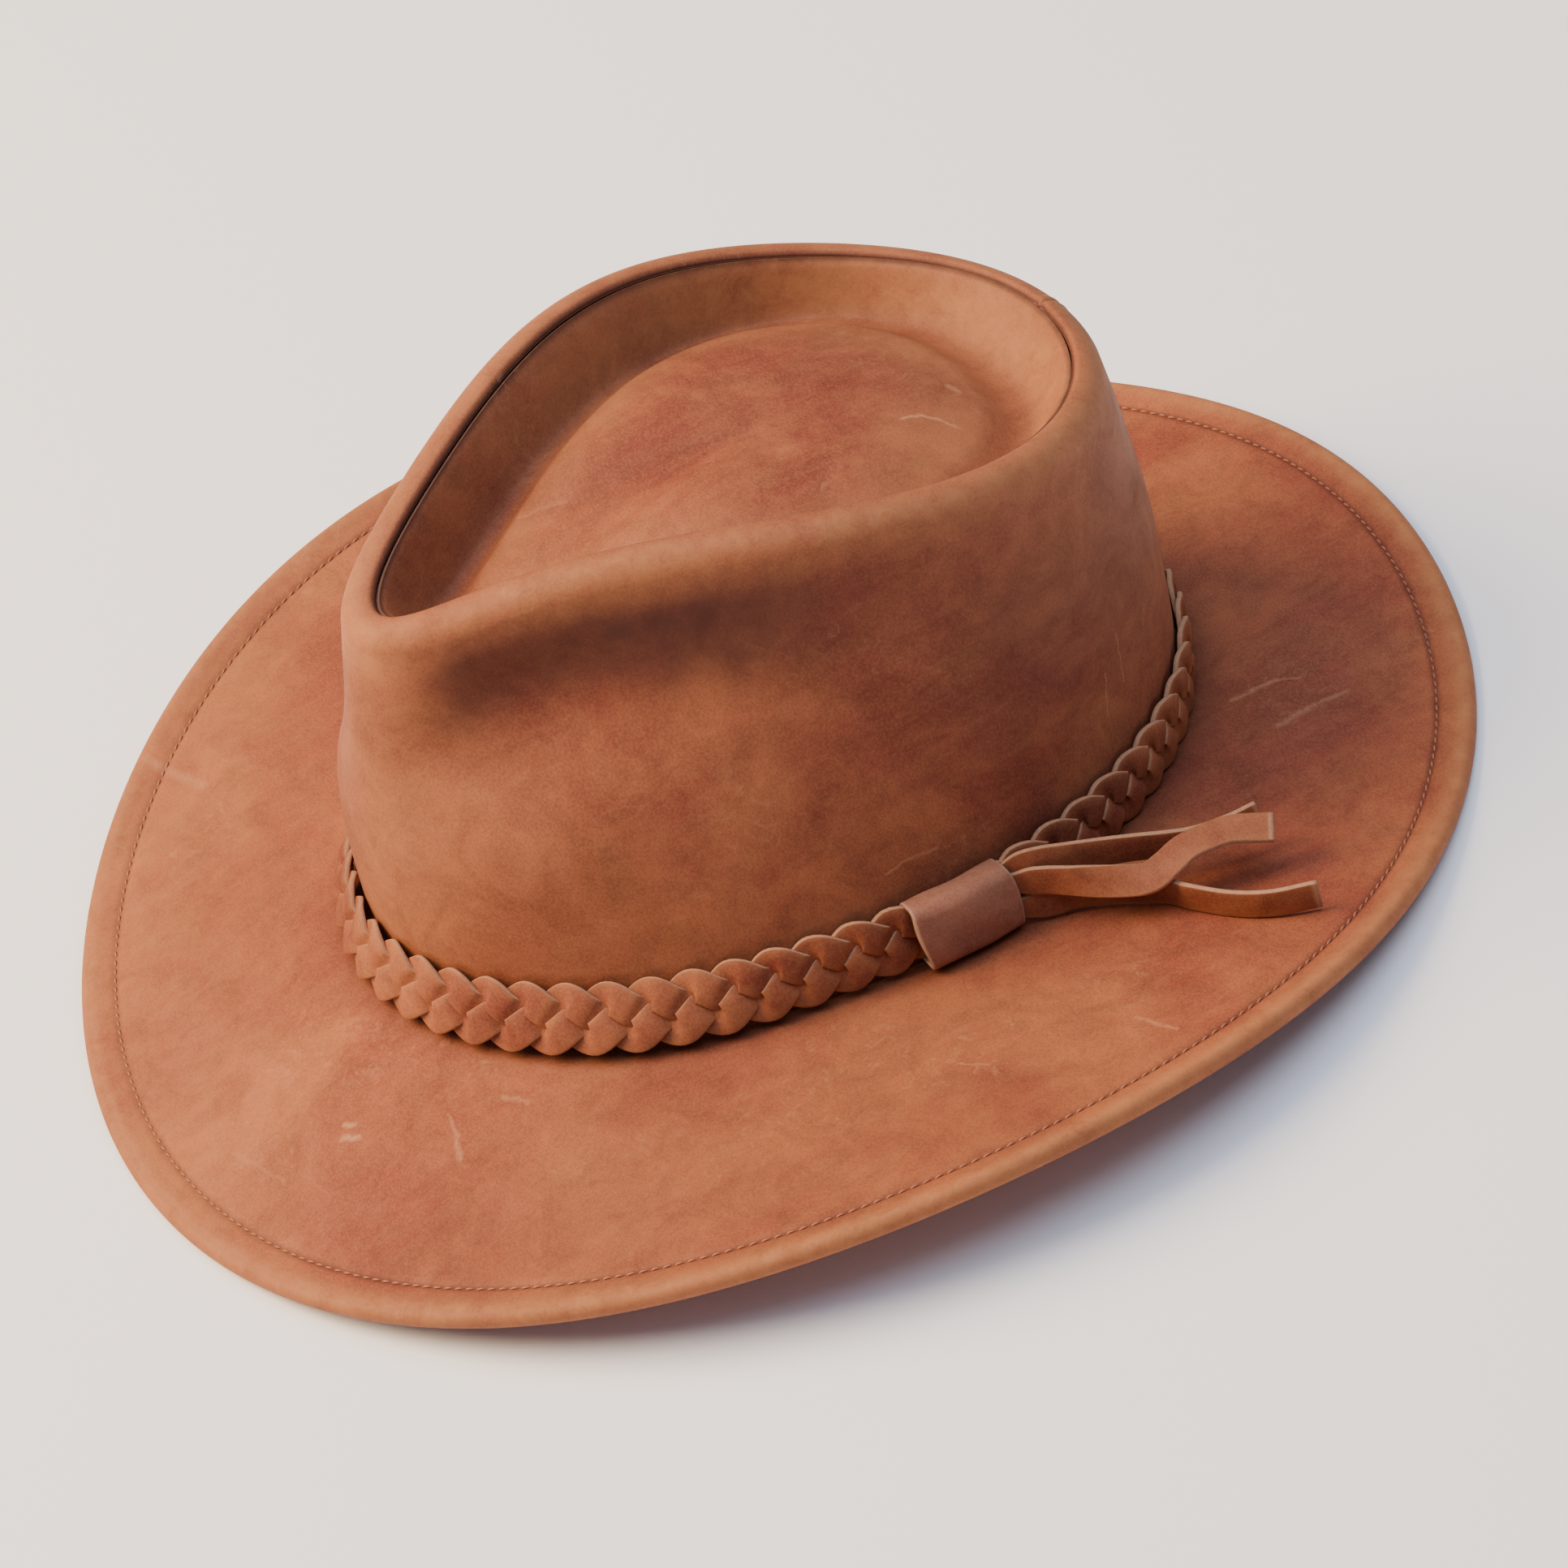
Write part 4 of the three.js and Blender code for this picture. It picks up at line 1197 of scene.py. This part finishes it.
def buildKeeper():
    lengths = np.linspace(-mouth, mouth, keeper["rows"])
    rows = []
    for loop, order in ((keeperLoop(keeper["wall"]), lengths), (keeperLoop(0), lengths[::-1])):
        isOuter = order is lengths
        across, out = loop.T
        for length in order:
            push = 0
            if isOuter:
                arch = np.sin(np.pi * (length + mouth) / keeper["length"]) ** 0.5
                bulge = keeper["bulge"] * mix(keeper["bulgeAtEnds"], 1, arch)
                middle = 1 - (across / (keeper["halfHeight"] + keeper["wall"])) ** 2
                push = bulge * middle * (out > 0)
            ragged = np.sin(across / keeper["raggedSize"] + 1) * (length / mouth) ** 3
            row = onBand(length + keeper["raggedEnds"] * ragged, across,
                         out + keeper["shift"] + push)
            if isOuter:
                uneven = softWave(row, keeper["waveSize"], keeper["waveSeed"])
                row = row + unit(row - row.mean(0)) * (keeper["unevenness"] * uneven)[:, None]
            rows.append(row)
    grid = np.stack(rows)
    faces = gridFaces(*grid.shape[:2], True, True)
    half = len(lengths)
    wearAndLight = np.zeros(grid.shape[:2])
    cut = np.zeros_like(wearAndLight)
    flesh = np.zeros_like(wearAndLight)
    wearAndLight[:half] = keeper["wearAndLight"]
    cut[[0, half - 1]] = keeper["cutEdge"]
    flesh[half:] = 1
    marks = {"wearAndLight": wearAndLight, "flesh": flesh, "cutEdge": cut}
    meshPiece("keeper_wrap", grid, faces, wrapLeather, marks, "keeper")


buildKeeper()
print("keeper made")

# stage and light
studio = {
    "floorSize": 6.0,
    "floor": "#F4F3F1",
    "floorRoughness": 0.9,
    "sky": "#D6E3FF",
    "skyStrength": 0.34,
    "keyPlace": (-0.75, -1.25, 1.55),
    "keySize": 1.7,
    "keyPower": 118.0,
    "keyColour": "#FFDFB6",
    "fillPlace": (0.3, 0.2, 2.2),
    "fillSize": 2.4,
    "fillPower": 52.0,
    "fillColour": "#D9E5FF",
    "aim": (0, 0, 0.06),
}


def makeStage():
    half = studio["floorSize"] / 2
    mesh = bpy.data.meshes.new("studio_floor")
    corners = [(-half, -half, 0), (half, -half, 0), (half, half, 0), (-half, half, 0)]
    mesh.from_pydata(corners, [], [(0, 1, 2, 3)])
    floor = bpy.data.objects.new("studio_floor", mesh)
    bpy.context.scene.collection.objects.link(floor)
    material, shader = newMaterial("mattePaintedFloor")
    shader.inputs["Base Color"].default_value = linearColour(studio["floor"])
    shader.inputs["Roughness"].default_value = studio["floorRoughness"]
    mesh.materials.append(material)
    world = bpy.data.worlds.new("paleStudio")
    bpy.context.scene.world = world
    world.use_nodes = True
    sky = world.node_tree.nodes["Background"]
    sky.inputs["Color"].default_value = linearColour(studio["sky"])
    sky.inputs["Strength"].default_value = studio["skyStrength"]
    for name in ("key", "fill"):
        lamp = bpy.data.lights.new(name + "Light", "AREA")
        lamp.shape = "DISK"
        lamp.size = studio[name + "Size"]
        lamp.energy = studio[name + "Power"]
        lamp.color = linearColour(studio[name + "Colour"])[:3]
        light = bpy.data.objects.new(name + "Light", lamp)
        light.location = studio[name + "Place"]
        aim = Vector(studio["aim"]) - light.location
        light.rotation_euler = aim.to_track_quat("-Z", "Y").to_euler()
        bpy.context.scene.collection.objects.link(light)


makeStage()
print("studio lit")
